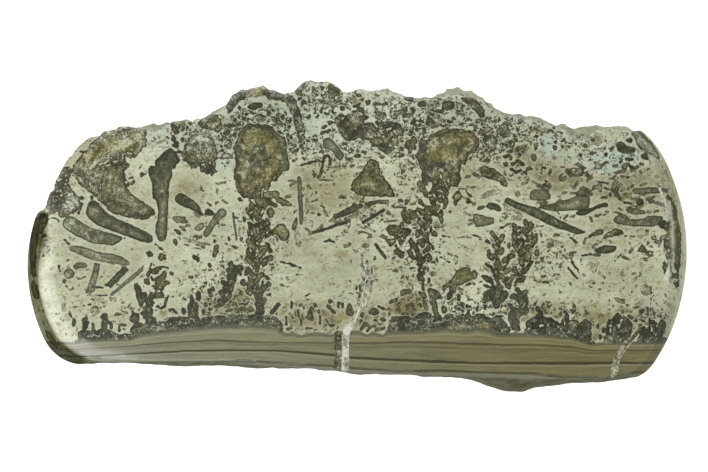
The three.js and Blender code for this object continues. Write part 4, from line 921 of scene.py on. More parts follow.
tint(0.0, -0.4, 0.8, rod(1.2, -29, 31.6, -26.5, 33, -22.8, 33.1, -20.3, 32.4, -18, 31, -16.4, 29.3))
tint(-0.3, -0.2, 2, patch(-33.2, 29.9, -29.6, 29.4, -29.4, 26.4, -33, 26.2))
tint(0.18, 0.0, 4, lobe(3, 30, 12, 4))
tint(-0.07, 0.1, 5, lobe(67, -8, 6, 5), lobe(-18, -2, 5, 6))
tint(0.1, 0.0, 5, lobe(-60, -17, 9, 3))
tint(0.1, -0.3, 4, lobe(55, 25.5, 6, 2), lobe(66, 25.5, 4, 1.6))
tint(-0.08, 0.1, 5, lobe(-14, 8, 4, 12))
tint(-0.1, 0.5, 2, lobe(12.6, -17, 4.4, 2.2), lobe(41, -27, 11, 0.9))
tint(-0.35, 0.25, 5, lobe(-42, -20.5, 5, 2.4), lobe(70, -20, 8, 4))
tint(-0.3, 0.15, 3, lobe(57, -2.6, 3.6, 2.2))
tint(-0.09, 0.0, 12, lobe(-34, -4, 44, 20), lobe(-4, -8, 22, 14))
tint(-0.14, 0.15, 5, lobe(12, 14.6, 3.4, 5), lobe(-12, -2, 5, 6))
tint(-0.3, 0.5, 2, lobe(-75.8, -1, 1.2, 3.4))
speckle(0.75, 4, lobe(-21.4, 25.8, 8.4, 6.2), lobe(-32, 24, 3, 3), lobe(-9, 33.8, 7.4, 4.6),
    lobe(19, 30, 11, 4.6), lobe(33.6, 25.6, 7, 7), lobe(13.4, 24.6, 5, 5))
speckle(0.8, 2,
    patch(-30, 30, -26, 32.4, -20, 32, -16.6, 28.6, -14.8, 24, -14.4, 20, -16, 20, -17.6, 24.6, -21, 27.6,
        -26, 27.6, -29.4, 23.4, -30, 20.4, -32.4, 21, -32.6, 26))
speckle(0.3, 4, lobe(3, 29.8, 14, 6))
speckle(0.9, 2, lobe(-75.6, -1.4, 1, 3.2))
speckle(0.55, 5, lobe(-41, 25.4, 7, 4.4), lobe(0, 19.6, 9, 4), lobe(12, 17.6, 3.2, 8), lobe(30, 19.6, 5, 3.6),
    lobe(39, 18.4, 4, 4.4), lobe(44, 25.6, 9, 4.6), lobe(56, 22.8, 9, 5))
speckle(0.45, 4, lobe(-24, -3, 6.6, 12), lobe(15, -4, 7, 12), lobe(38, -5, 6, 9), lobe(-33, -12, 8, 6),
    lobe(24, -13, 6, 6), lobe(36, -16.4, 7, 4), lobe(2, 5, 6, 4), lobe(-8.4, 20, 6, 6))
speckle(0.3, 2.5, lobe(-11.6, -19.6, 8.6, 4.2), lobe(3.4, -20, 5, 3.8), lobe(59, -21, 4, 5))
speckle(0.6, 2.5, lobe(-30, -17.6, 9, 2.6), lobe(14, -17.4, 6, 2.6), lobe(28, -17.2, 9, 2),
    lobe(48, -18, 7, 2.2), lobe(70, -19.4, 6, 3))
speckle(0.35, 6, lobe(-62, 21, 9, 4, 40), lobe(-72, 12, 4, 6), lobe(-60, -20.6, 12, 3), lobe(46, -4, 8, 5),
    lobe(66, 17.4, 8, 6))
speckle(0.2, 6, lobe(70, -9, 8, 10))
print("marks:", len(marks))

# %% The beds below the hedge
BED_LINES = (  # y of the lines between the beds, from the top of the base down, at points along x
    (-68, -25.6, -65.3, -24.9, -59.2, -24.7, -54.9, -24.7, -52.7, -23.4, -49.9, -22.8, -44.8, -22.3,
     -39.4, -21.7, -34, -20.9, -26.8, -20.6, -22.2, -20.7, -19.6, -21.3, -18.2, -22.7, -17, -23.6,
     -15.6, -23.1, -13.4, -24, -12, -23.4, -9, -23.2, -6.4, -23.8, -4, -23, 0.6, -22.8, 2.6, -23.8, 4, -23,
     6.4, -23.9, 7.6, -22.7, 15.4, -22.4, 19.7, -21.9, 21.7, -21.5, 26.8, -22.4, 29.3, -21.3, 33.1, -22.4,
     34.4, -23.2, 46.4, -23.5, 52, -24.2, 56.8, -26, 60.4, -25.6, 65, -25.6, 70, -25.4, 78, -25.2),
    (-68, -27.4, -60, -27, -46.6, -25.9, -41.2, -25.6, -34, -25.3, -26.8, -25.7, -16, -25.8, 7, -25.8,
     12.6, -25.6, 23.4, -25.8, 28.8, -26.1, 36, -26.3, 43.3, -26.2, 53.3, -26.9, 57, -27.6, 70, -27.6),
    (-66, -29.2, -47, -28.1, -41.2, -27.7, -34, -27.6, -19.6, -27.6, -16, -27.9, -5.4, -28.8, -1.8, -29.5,
     7.2, -29.9, 18, -30.5, 28.8, -30.9, 43.3, -30.9, 62, -30.6, 70, -30.8),
    (-61, -30.6, -34, -30.4, -26.8, -30, -23.2, -30.4, -16, -30.8, -1.8, -31.7, 8.6, -32.6, 21.6, -32.4,
     36, -33, 43.3, -33.3, 50.7, -34.3, 60, -34.5, 68.3, -32.8),
    (-60, -35, -30, -35.6, 0, -37, 30, -38, 60, -38.6, 70, -38.6),
)


def bed_number(points):
    """0 at the top of the base, then one more at each line below it, and less than 0 above it."""
    x, y = points.T
    lines = [np.interp(x, *pairs(line).T) for line in BED_LINES]
    number = (lines[0] - y) / (lines[0] - lines[1])
    for count, (above, below) in enumerate(zip(lines[1:-1], lines[2:]), 1):
        number = np.where(y < above, count + (above - y) / (above - below), number)
    return number


# %% [markdown]
# ## Numbers at each vertex
#
# The marks are laid down in order. A later mark covers an earlier one and leaves an edge against it, so two
# growths that touch keep a thin dark line between them.

# %% Lay the marks down at a set of points
FIELDS = ("edge", "light", "ochre", "rim", "flecks", "ragged", "specks", "mud_light", "mud_warm")
MOST_INSIDE = 8.0  # mm inside a mark at which its distance stops counting
TONE_FIELDS = FIELDS[1:6]  # those that a tone gives


def deepest(points, shapes, reach):
    """How deep each point is in the nearest of the shapes, and -reach where it is near none."""
    depth = np.full(len(points), -reach)
    for measure, low, high in shapes:
        near = np.flatnonzero(((points > low - reach) & (points < high + reach)).all(1))
        if len(near):
            depth[near] = np.maximum(depth[near], in_batches(measure, points[near]))
    return depth


def paint(points):
    """The drawing's numbers at each point of the face's plane."""
    found = {name: np.zeros(len(points)) for name in FIELDS}
    found["edge"] -= REACH
    edge = found["edge"]

    def blend(name, goal, share):
        found[name] += (goal - found[name]) * share

    for kind, numbers, shapes in marks:
        soft = numbers[-1] if kind in ("shade", "tint", "specks") else 0
        depth = deepest(points, shapes, max(REACH, soft))
        if kind == "mark":
            covered, inside = edge > 0, depth > 0
            chosen = inside | (~covered & (depth > edge))
            for name, value in zip(TONE_FIELDS, TONES[numbers]):
                found[name][chosen] = value
            beside = np.where(covered, np.minimum(edge, -depth), np.maximum(edge, depth))
            edge[:] = np.where(inside, depth, beside)
        elif kind == "cut":
            edge[:] = np.minimum(edge, -depth)
        else:
            share = smoothstep(-soft / 2, soft / 2, depth)
            if kind == "shade":
                blend("light", numbers[0], share)
                blend("ochre", numbers[1], share)
            elif kind == "tint":
                found["mud_light"] += numbers[0] * share
                found["mud_warm"] += numbers[1] * share
            else:
                blend("specks", 1, share * numbers[0])
    edge[:] = np.minimum(edge, MOST_INSIDE)
    return found

# %% [markdown]
# ## One closed mesh
#
# The polished face needs the finest mesh where the outlines run, and far less between them. Its points come
# from a triangular lattice that is fine near an outline and thins out away from it. The wall is a grid of the
# measured rays, and the back a coarse lattice. All three share the rings of points where they meet, so the
# skin is closed.

# %% Points of the face
FINE = 0.245  # mm between points beside an outline
FACE_BANDS = ((1, 0.3), (2, 0.9), (4, 99.0))  # step in the lattice, and how far from an outline it is used
RIM_MARGIN = 0.45  # mm kept clear between the rim's own points and the lattice
RIM_BATCH = 4000  # points measured against the rim at a time


def lattice(spacing, outline):
    """Points of a triangular lattice inside a closed outline, with their two row numbers."""
    low, high = outline.min(0) - spacing, outline.max(0) + spacing
    rows = int((high[1] - low[1]) / (spacing * math.sqrt(0.75)))
    columns = int((high[0] - low[0]) / spacing)
    j, i = np.mgrid[0:rows, -rows // 2:columns]
    x, y = low[0] + (i + j / 2) * spacing, low[1] + j * spacing * math.sqrt(0.75)
    keep = (x > low[0]) & (x < high[0]) & (y < high[1])
    return np.stack([x[keep], y[keep]], 1), i[keep], j[keep]


def deep_inside(points, outline, margin):
    """Picks the points inside an outline and at least a margin away from it."""

    def clear(batch):
        return within(batch, outline) & (to_segments(batch, outline, True) > margin)

    return in_batches(clear, points, RIM_BATCH)


face_points, across, upward = lattice(FINE, rim)
painted = paint(face_points)
near = np.abs(painted["edge"])
chosen = np.zeros(len(face_points), bool)
for step, reach_of_step in FACE_BANDS:
    chosen |= (across % step == 0) & (upward % step == 0) & (near < reach_of_step)
face_points = face_points[chosen]
face_points = face_points[deep_inside(face_points, rim, RIM_MARGIN)]
print("points inside the face:", len(face_points))

# %% [markdown]
# ### The roll of the face
#
# Polishing on a soft wheel takes most off near the rim, so the face is flat and then rolls down. The roll is
# deepest round the left end.

# %% Height of the face, which rolls down to its rim
ROLL_WIDTH = 6.0  # mm in from the rim where the roll starts
ROLL_POWER = 2.6  # higher keeps the roll closer to the rim


def rim_distance(points):
    """How far each point is from the rim, and how much the rim drops there."""

    def nearest(batch):
        gaps = np.hypot(batch[:, :1] - rim[:, 0], batch[:, 1:] - rim[:, 1])
        best = gaps.argmin(1)
        return np.stack([gaps[np.arange(len(batch)), best], rim_drop[best]], 1)

    return in_batches(nearest, points, RIM_BATCH).T


gap, drop = rim_distance(face_points)
face_z = FACE_Z - drop * np.clip(1 - gap / ROLL_WIDTH, 0, 1) ** ROLL_POWER
print("roll of the face, mm:", round(float(FACE_Z - face_z.min()), 2))

# %% [markdown]
# ### The skin
#
# The wall's rings are joined row to row, and the face and the back are filled with triangles through their
# own points. A note is kept of which triangles are not the polished face, as those get the matt finish.

# %% Join the wall, the face and the back
BACK_SPACING = 1.6  # mm between points of the back


def fill(outline, points):
    """Triangles that fill a closed outline through the points inside it, facing up."""
    flat = [Vector(p) for p in np.concatenate([outline, points])]
    ring = list(range(len(outline)))
    made = geometry.delaunay_2d_cdt(flat, [], [ring], 1, 1e-6)
    assert len(made[0]) == len(flat), "the filler added or merged points"
    return [[made[3][v][0] for v in face] for face in made[2]]


back_ring = wall_xy[0]
back_points = lattice(BACK_SPACING, back_ring)[0]
back_points = back_points[deep_inside(back_points, back_ring, BACK_SPACING / 2)]

rings, count = wall_z.shape
wall_points = np.concatenate([wall_xy, wall_z[..., None]], 2).reshape(-1, 3)
face_part = np.column_stack([face_points, face_z])
back_part = np.column_stack([back_points, np.zeros(len(back_points))])
vertices = np.concatenate([wall_points, face_part, back_part])
face_start, back_start = len(wall_points), len(wall_points) + len(face_part)

triangles = []
for ring in range(rings - 1):
    low_row = ring * count + np.arange(count)
    low_next, high_row = ring * count + (np.arange(count) + 1) % count, low_row + count
    high_next = low_next + count
    triangles += [tuple(t) for t in np.stack([low_row, low_next, high_next], 1).tolist()]
    triangles += [tuple(t) for t in np.stack([low_row, high_next, high_row], 1).tolist()]
is_side = [True] * len(triangles)
top_ring_start = (rings - 1) * count
for a, b, c in fill(rim, face_points):
    triangles.append(tuple(top_ring_start + v if v < count else face_start + v - count for v in (a, b, c)))
is_side += [False] * (len(triangles) - len(is_side))
for a, b, c in fill(back_ring, back_points):
    triangles.append(tuple(v if v < count else back_start + v - count for v in (a, c, b)))
is_side += [True] * (len(triangles) - len(is_side))
print("vertices:", len(vertices), "triangles:", len(triangles))

# %% [markdown]
# ## The drawing goes through the stone
#
# The growths are solid, so the ends and the back cut them too. A cut lower down shows the same growths a
# little shifted and bent, because they lean and branch in depth. The points of the wall and back look up the
# drawing at a place that wanders further from their own the deeper they lie.

# %% Numbers for every vertex
UPRIGHT = 0.45  # the upper share of the thickness in which the drawing has not wandered
LEAN = 12.0  # mm it would wander in a whole thickness below that, so about 5 mm by the back
LEAN_POWER = 1.5  # more than 1 makes it wander faster and faster
WANDER = 23.0  # mm from one broad bend of the lean to the next
BROAD_TURN = 6.3  # radians of a wave in that length
FINE_TURNS = (11.0, 9.0)  # the same for the smaller bends, along x and along y
FINE_SHARE = 0.5  # how strong the smaller bends are
WANDER_UP = 0.6  # how much it wanders along y, where it wanders 1 along x


def leaned(points):
    """Where in the drawing a point of the stone lies."""
    x, y, z = points.T
    deep = np.clip((FACE_Z - z) / FACE_Z - UPRIGHT, 0, 1) ** LEAN_POWER * LEAN
    turn_x = np.sin(y / WANDER * BROAD_TURN + 1.0) + FINE_SHARE * np.sin((x + y) / WANDER * FINE_TURNS[0])
    turn_y = np.sin(x / WANDER * BROAD_TURN + 4.0) + FINE_SHARE * np.sin((x - y) / WANDER * FINE_TURNS[1])
    return np.stack([x + deep * turn_x, y + WANDER_UP * deep * turn_y], 1)


placed = leaned(vertices)
numbers = paint(placed)
numbers["bed"] = bed_number(placed)
RIM_FADE = 2.5  # mm below the face's rim and above the back over which natural stone's relief fades in
BASE_RELIEF = 0.3  # relief of the base side, where the crust side has 1
RIGHT_WEATHERED = 0.25  # how weathered the right end is, where the natural sides have 1
# Painted shade: the colour of the sides is darkened to stand in for shade, most at the left end and on the
# base side, little on the right end and the crust side
RIGHT_PAINTED_SHADE, CRUST_PAINTED_SHADE, BASE_PAINTED_SHADE = 0.12, 0.1, 0.8
LEFT_PAINTED_SHADE = (-28, -24.5, -22, -17, -14.5), (1.0, 0.97, 0.93, 0.93, 1.0)  # y round the left end, and how much painted shade the end has there
RIM_WEATHERED, RIM_PAINTED_SHADE = 0.5, 0.3  # what is left of both along the rim of the face

ring_natural = np.tile(natural * np.where(on_crust, 1.0, BASE_RELIEF), (rings, 1))
ring_fade = smoothstep(0, RIM_FADE, np.minimum(wall_z, wall_z[-1] - wall_z))
ring_weathered = np.tile(natural + RIGHT_WEATHERED * right_ground, (rings, 1))
ring_weathered[-1] *= RIM_WEATHERED
left_painted_shade = left_ground * np.interp(wall_xy[..., 1], *LEFT_PAINTED_SHADE)
ring_painted_shade = left_painted_shade + RIGHT_PAINTED_SHADE * right_ground + natural * np.where(on_crust, CRUST_PAINTED_SHADE, BASE_PAINTED_SHADE)
ring_painted_shade[-1] *= RIM_PAINTED_SHADE
RINGS = {"weathered": ring_weathered, "relief": ring_natural * ring_fade, "painted_shade": ring_painted_shade}
for name, wall_values in RINGS.items():
    numbers[name] = np.zeros(len(vertices))
    numbers[name][:face_start] = wall_values.ravel()
print({name: (round(float(v.min()), 2), round(float(v.max()), 2)) for name, v in numbers.items()})

# %% Make the mesh, with its numbers as attributes
mesh = bpy.data.meshes.new("stromatolite slab")
mesh.from_pydata((vertices * MM).tolist(), [], triangles)
for name, values in numbers.items():
    attribute = mesh.attributes.new(name, "FLOAT", "POINT")
    attribute.data.foreach_set("value", values.astype(np.float32))
side = mesh.attributes.new("side", "BOOLEAN", "FACE")
side.data.foreach_set("value", is_side)
mesh.shade_smooth()
mesh.update()
slab = bpy.data.objects.new("polished_slab", mesh)
bpy.context.scene.collection.objects.link(slab)

skin = bmesh.new()
skin.from_mesh(mesh)
print("open edges:", sum(not edge.is_manifold for edge in skin.edges), "volume, cm3:",
      round(skin.calc_volume(signed=True) * 1e6, 1))
skin.free()

# %% [markdown]
# ## Broken and weathered sides
#
# The long sides were never sawn. The crust side is a surface of rounded knobs where the growth ended, and the
# base side broke along the bedding. A small node tree sinks the wall between the knobs. It only ever cuts
# inwards, so the stone stays inside its measured size.

# %% A function that adds a node


def add(tree, kind, settings=None, links=None, out=0):
    """Adds a node, sets its settings, links or sets its inputs, and returns one of its outputs."""
    node = tree.nodes.new(kind)
    for name, value in (settings or {}).items():
        setattr(node, name, value)
    for name, value in (links or {}).items():
        if isinstance(value, bpy.types.NodeSocket):
            tree.links.new(value, node.inputs[name])
        else:
            node.inputs[name].default_value = value
    return node.outputs[out]


MULTIPLY = {"operation": "MULTIPLY"}
ADD = {"operation": "ADD"}
SUBTRACT = {"operation": "SUBTRACT"}
MULTIPLY_ADD = {"operation": "MULTIPLY_ADD"}
ABSOLUTE = {"operation": "ABSOLUTE"}
LESS_THAN = {"operation": "LESS_THAN"}
SCALE = {"operation": "SCALE"}

# %% [markdown]
# ### The relief
#
# Every point of the natural sides moves inwards by a cell noise, which is deepest between the knobs, and a
# finer noise. The stone is then given its two materials.

# %% The relief's node tree
relief = bpy.data.node_groups.new("knobbly relief", "GeometryNodeTree")
relief.interface.new_socket("Geometry", in_out="INPUT", socket_type="NodeSocketGeometry")
relief.interface.new_socket("Geometry", in_out="OUTPUT", socket_type="NodeSocketGeometry")
RELIEF_INPUTS = {  # mm, apart from the seed
    "Knob size": 4.6,
    "Knob height": 1.3,
    "Grain size": 1.6,
    "Grain height": 0.35,
    "Seed": 7.0,
}
sockets = {}
for kind, names in (("Float", RELIEF_INPUTS), ("Material", ("Face stone", "Side stone"))):
    for name in names:
        socket = relief.interface.new_socket(name, in_out="INPUT", socket_type="NodeSocket" + kind)
        sockets[name] = socket.identifier
given = relief.nodes.new("NodeGroupInput").outputs

place = add(relief, "GeometryNodeInputPosition")
place = add(relief, "ShaderNodeVectorMath", SCALE, {"Vector": place, "Scale": 1 / MM})
shifted = add(relief, "ShaderNodeVectorMath", ADD, {0: place, 1: given["Seed"]})
knob_scale = add(relief, "ShaderNodeMath", {"operation": "DIVIDE"}, {0: 1.0, 1: given["Knob size"]})
grain_scale = add(relief, "ShaderNodeMath", {"operation": "DIVIDE"}, {0: 1.0, 1: given["Grain size"]})
hollow = add(relief, "ShaderNodeTexVoronoi", {"feature": "SMOOTH_F1"},
             {"Vector": shifted, "Scale": knob_scale, "Smoothness": 0.35, "Randomness": 0.9}, "Distance")
rough = add(relief, "ShaderNodeTexNoise", None,
            {"Vector": shifted, "Scale": grain_scale, "Detail": 3.0, "Roughness": 0.55}, 0)
hollow = add(relief, "ShaderNodeMath", MULTIPLY, {0: hollow, 1: given["Knob height"]})
rough = add(relief, "ShaderNodeMath", MULTIPLY, {0: rough, 1: given["Grain height"]})
depth = add(relief, "ShaderNodeMath", ADD, {0: hollow, 1: rough})
mask = add(relief, "GeometryNodeInputNamedAttribute", {"data_type": "FLOAT"}, {"Name": "relief"})
depth = add(relief, "ShaderNodeMath", MULTIPLY, {0: depth, 1: mask})
depth = add(relief, "ShaderNodeMath", MULTIPLY, {0: depth, 1: -MM})
normal = add(relief, "GeometryNodeInputNormal")
offset = add(relief, "ShaderNodeVectorMath", SCALE, {"Vector": normal, "Scale": depth})
stone_skin = add(relief, "GeometryNodeSetPosition", None, {"Geometry": given["Geometry"], "Offset": offset})
stone_skin = add(relief, "GeometryNodeRealizeInstances", None, {"Geometry": stone_skin})
stone_skin = add(relief, "GeometryNodeSetMaterial", None,
                 {"Geometry": stone_skin, "Material": given["Face stone"]})
on_side = add(relief, "GeometryNodeInputNamedAttribute", {"data_type": "BOOLEAN"}, {"Name": "side"})
stone_skin = add(relief, "GeometryNodeSetMaterial", None,
                 {"Geometry": stone_skin, "Selection": on_side, "Material": given["Side stone"]})
relief.links.new(stone_skin, relief.nodes.new("NodeGroupOutput").inputs["Geometry"])
print("relief nodes:", len(relief.nodes))

# %% [markdown]
# ## Polished limestone
#
# The stone is fine lime mud, dense enough to take a satin polish. Its colour is worked out from the numbers
# kept at the vertices: pale mud with grain and specks, marks with a dark rim and a mottled inside, and beds
# at the base. Noise a millimetre across roughens every outline, as the growths have no smooth edge at that
# size.

# %% Colours and the material's first nodes


def linear(hex_colour):
    """An sRGB hex colour as linear light, with alpha."""
    parts = [int(hex_colour[k:k + 2], 16) / 255 for k in (1, 3, 5)]
    return [c / 12.92 if c <= 0.04045 else ((c + 0.055) / 1.055) ** 2.4 for c in parts] + [1.0]


stone = bpy.data.materials.new("polished algal limestone")
stone.use_nodes = True
tree = stone.node_tree
surface = tree.nodes["Principled BSDF"]
MIX_COLOUR = {"data_type": "RGBA"}
MULTIPLY_COLOUR = {"data_type": "RGBA", "blend_type": "MULTIPLY"}
SMOOTH = {"interpolation_type": "SMOOTHSTEP"}
A, B, COLOUR_OUT = 6, 7, 2  # the colour sockets of a Mix node

mm = add(tree, "ShaderNodeTexCoord", out="Object")
mm = add(tree, "ShaderNodeVectorMath", SCALE, {"Vector": mm, "Scale": 1 / MM})
at = {name: add(tree, "ShaderNodeAttribute", {"attribute_name": name}, out="Fac")
      for name in numbers if name != "relief"}

NOISES = {  # size in mm, detail, roughness and distortion
    "cloud": (16.0, 3.0, 0.55, 0.3),
    "patches": (3.2, 3.0, 0.6, 0.4),
    "grain": (0.4, 3.0, 0.7, 0.0),
    "crumbs": (0.9, 2.0, 0.5, 0.8),
    "streaks": (0.55, 2.0, 0.75, 1.2),
    "outline": (1.1, 3.0, 0.65, 0.0),
    "mottle": (1.5, 4.0, 0.65, 0.8),
    "flecks": (0.75, 2.0, 0.5, 0.8),
    "hairlines": (2.4, 3.0, 0.55, 1.2),
    "threads": (1.5, 3.0, 0.6, 2.2),
    "bend": (1.3, 2.0, 0.6, 0.0),
}
NOISE_STEP = (17.0, 31.0)  # mm from the start of one noise to the next, so no two of them match
noise, noise_colour = {}, {}
for number, (name, (size, detail, roughness, distortion)) in enumerate(NOISES.items()):
    start = (NOISE_STEP[0] * number, NOISE_STEP[1] * number, 0.0)
    shifted = add(tree, "ShaderNodeVectorMath", ADD, {0: mm, 1: start})
    noise[name] = add(tree, "ShaderNodeTexNoise", None,
                      {"Vector": shifted, "Scale": 1 / size, "Detail": detail, "Roughness": roughness,
                       "Distortion": distortion}, 0)
    noise_colour[name] = noise[name].node.outputs["Color"]

# %% Hairline cracks: thin lines where a broad noise crosses its middle value
crossing = add(tree, "ShaderNodeMath", SUBTRACT, {0: noise["hairlines"], 1: 0.5})
crossing = add(tree, "ShaderNodeMath", ABSOLUTE, {0: crossing})
hairline = add(tree, "ShaderNodeMapRange", SMOOTH, {"Value": crossing, "From Min": 0.022, "From Max": 0.004})

# %% [markdown]
# ### The mud
#
# Pale mud in broad clouds of two tones, with olive patches. The numbers at the vertices then push it towards
# ochre or blue-green, and towards dark or light. A noise squeezed upright is drawn out level, like the faint
# drift of the mud as it settled.

# %% The mud
mud = add(tree, "ShaderNodeMapRange", None, {"Value": noise["cloud"], "From Min": 0.35, "From Max": 0.65})
mud = add(tree, "ShaderNodeMix", MIX_COLOUR, {0: mud, A: linear("#acae90"), B: linear("#c4c7ab")}, COLOUR_OUT)
patchy = add(tree, "ShaderNodeMapRange", None,
             {"Value": noise["patches"], "From Min": 0.5, "From Max": 0.75, "To Max": 0.35})
warm = add(tree, "ShaderNodeMapRange", None, {"Value": at["mud_warm"]})
cool = add(tree, "ShaderNodeMapRange", None, {"Value": at["mud_warm"], "From Max": -1.0})
for share, mixed_in in ((patchy, "#8f8d6c"), (warm, "#8f875b"), (cool, "#9fb2a3")):
    mud = add(tree, "ShaderNodeMix", MIX_COLOUR, {0: share, A: mud, B: linear(mixed_in)}, COLOUR_OUT)
darker = add(tree, "ShaderNodeMapRange", None, {"Value": at["mud_light"], "From Max": -1.0})
lighter = add(tree, "ShaderNodeMapRange", None, {"Value": at["mud_light"]})
flat_lying = add(tree, "ShaderNodeVectorMath", MULTIPLY, {0: mm, 1: (0.3, 1.0, 1.0)})
drift = add(tree, "ShaderNodeTexNoise", None,
            {"Vector": flat_lying, "Scale": 0.9, "Detail": 4.0, "Roughness": 0.7}, 0)
drift = add(tree, "ShaderNodeMapRange", None,
            {"Value": drift, "From Min": 0.35, "From Max": 0.65, "To Min": 0.87, "To Max": 1.13})
drift = add(tree, "ShaderNodeCombineXYZ", None, {"X": drift, "Y": drift, "Z": drift})
mud = add(tree, "ShaderNodeMix", MULTIPLY_COLOUR, {0: 1.0, A: mud, B: drift}, COLOUR_OUT)
for share, mixed_in in ((darker, "#4c4d35"), (lighter, "#dfe0cc")):
    mud = add(tree, "ShaderNodeMix", MIX_COLOUR, {0: share, A: mud, B: linear(mixed_in)}, COLOUR_OUT)

# %% [markdown]
# ### The outlines
#
# The distance to the outline is shifted by noise before it is read, which makes the outline rough. Where it
# is more than nothing the point is inside a mark. Just inside, the mark has its dark rim, and just outside
# the mud has a pale halo. The hedge's foot is swollen until it meets the beds under it.

# %% The outlines of the marks, roughened
KNOB = 1.2  # mm from one knob of an outline to the next
KNOB_LEVEL = 0.42  # the cell noise at which a knob neither stands out nor sinks in
WOBBLE, BULGE = 2.6, 0.9  # mm: how far the noise and the knobs move the most ragged outline
WOBBLE_KEPT = 0.85  # the share of that which is used
SWELL = 0.22  # mm further out that the most ragged outline stands
knobs = add(tree, "ShaderNodeTexVoronoi", None, {"Vector": mm, "Scale": 1 / KNOB}, "Distance")
wobble = add(tree, "ShaderNodeMath", SUBTRACT, {0: noise["outline"], 1: 0.5})
wobble = add(tree, "ShaderNodeMath", MULTIPLY, {0: wobble, 1: WOBBLE})
bulge = add(tree, "ShaderNodeMath", SUBTRACT, {0: KNOB_LEVEL, 1: knobs})
wobble = add(tree, "ShaderNodeMath", MULTIPLY_ADD, {0: bulge, 1: BULGE, 2: wobble})
wobble = add(tree, "ShaderNodeMath", MULTIPLY, {0: wobble, 1: at["ragged"]})
swollen = add(tree, "ShaderNodeMath", MULTIPLY_ADD, {0: at["ragged"], 1: SWELL, 2: at["edge"]})
edge = add(tree, "ShaderNodeMath", MULTIPLY_ADD, {0: wobble, 1: WOBBLE_KEPT, 2: swollen})
hedge_foot = add(tree, "ShaderNodeMapRange", SMOOTH,
                 {"Value": at["bed"], "From Min": -0.45, "From Max": -0.08, "To Max": 1.6})
only_hedge = add(tree, "ShaderNodeMapRange", SMOOTH, {"Value": at["rim"], "From Min": 0.9, "From Max": 1.0})
edge = add(tree, "ShaderNodeMath", MULTIPLY_ADD, {0: hedge_foot, 1: only_hedge, 2: edge})
inside = add(tree, "ShaderNodeMapRange", SMOOTH, {"Value": edge, "From Min": -0.1, "From Max": 0.1})
rim_share = add(tree, "ShaderNodeMapRange", SMOOTH, {"Value": edge, "From Min": 0.48, "From Max": 0.2})
rim_share = add(tree, "ShaderNodeMath", MULTIPLY, {0: rim_share, 1: at["rim"]})
halo = add(tree, "ShaderNodeMapRange", SMOOTH,
           {"Value": edge, "From Min": -0.7, "From Max": -0.2, "To Max": 0.34})
mud = add(tree, "ShaderNodeMix", MIX_COLOUR, {0: halo, A: mud, B: linear("#c2c4ab")}, COLOUR_OUT)

# %% [markdown]
# ### Crumbs
#
# Cells of three sizes are each either a bit or plain mud, by chance. A noise adds crumbs finer than those.
# All of them stop short of an outline, so the halo stays clean.

# %% Crumbs in the mud: bits of broken flake, then the dark specks that fell off the growths
clear_of_edge = add(tree, "ShaderNodeMapRange", SMOOTH, {"Value": edge, "From Min": -0.06, "From Max": -0.24})
bent = add(tree, "ShaderNodeVectorMath", SUBTRACT, {0: noise_colour["bend"], 1: (0.5, 0.5, 0.5)})
bent = add(tree, "ShaderNodeVectorMath", MULTIPLY_ADD, {0: bent, 1: (2.0, 2.0, 2.0), 2: mm})
# For each kind of bit: the number it follows, its size in mm, how much longer than tall it is, the share of
# the cells that are bits where there are few and many, the gap round a bit there, its colours, and how
# opaque it is
BITS = (
    ("mud_warm", 2.1, 1.9, (0.06, 0.6), (0.17, 0.1), ("#67654a", "#8b8358"), 0.7),
    ("specks", 1.15, 1.3, (0.04, 0.85), (0.2, 0.06), ("#2f3022", "#55533a"), 1.0),
    ("specks", 0.7, 1.2, (0.04, 0.45), (0.2, 0.1), ("#35362a", "#5b5a42"), 0.9),
)
for followed, size, stretch, (few, many), (wide, narrow), (dark_colour, light_colour), strength in BITS:
    stretched = add(tree, "ShaderNodeVectorMath", MULTIPLY, {0: bent, 1: (1 / stretch, 1.0, 1.0)})
    cells = add(tree, "ShaderNodeTexVoronoi", None, {"Vector": stretched, "Scale": 1 / size}, "Distance")
    to_border = add(tree, "ShaderNodeTexVoronoi", {"feature": "DISTANCE_TO_EDGE"},
                    {"Vector": stretched, "Scale": 1 / size}, "Distance")
    cell_value = add(tree, "ShaderNodeSeparateColor", None, {"Color": cells.node.outputs["Color"]}, "Red")
    cell_tone = cell_value.node.outputs["Green"]
    share = add(tree, "ShaderNodeMapRange", None, {"Value": at[followed], "To Min": few, "To Max": many})
    kept = add(tree, "ShaderNodeMath", LESS_THAN, {0: cell_value, 1: share})
    margin = add(tree, "ShaderNodeMapRange", None, {"Value": at[followed], "To Min": wide, "To Max": narrow})
    bit = add(tree, "ShaderNodeMath", SUBTRACT, {0: to_border, 1: margin})
    bit = add(tree, "ShaderNodeMapRange", SMOOTH,
              {"Value": bit, "From Min": -0.03, "From Max": 0.04, "To Max": strength})
    bit = add(tree, "ShaderNodeMath", MULTIPLY, {0: bit, 1: kept})
    bit = add(tree, "ShaderNodeMath", MULTIPLY, {0: bit, 1: clear_of_edge})
    tone = add(tree, "ShaderNodeMix", MIX_COLOUR,
               {0: cell_tone, A: linear(dark_colour), B: linear(light_colour)}, COLOUR_OUT)
    mud = add(tree, "ShaderNodeMix", MIX_COLOUR, {0: bit, A: mud, B: tone}, COLOUR_OUT)
crumb_level = add(tree, "ShaderNodeMapRange", None, {"Value": at["specks"], "To Min": 0.622, "To Max": 0.52})
crumbs = add(tree, "ShaderNodeMath", SUBTRACT, {0: noise["crumbs"], 1: crumb_level})
crumb_strength = add(tree, "ShaderNodeMapRange", None, {"Value": at["specks"], "To Min": 0.65, "To Max": 1.0})
crumbs = add(tree, "ShaderNodeMapRange", SMOOTH,
             {"Value": crumbs, "From Min": -0.01, "From Max": 0.035, "To Max": crumb_strength})
crumbs = add(tree, "ShaderNodeMath", MULTIPLY, {0: crumbs, 1: clear_of_edge})
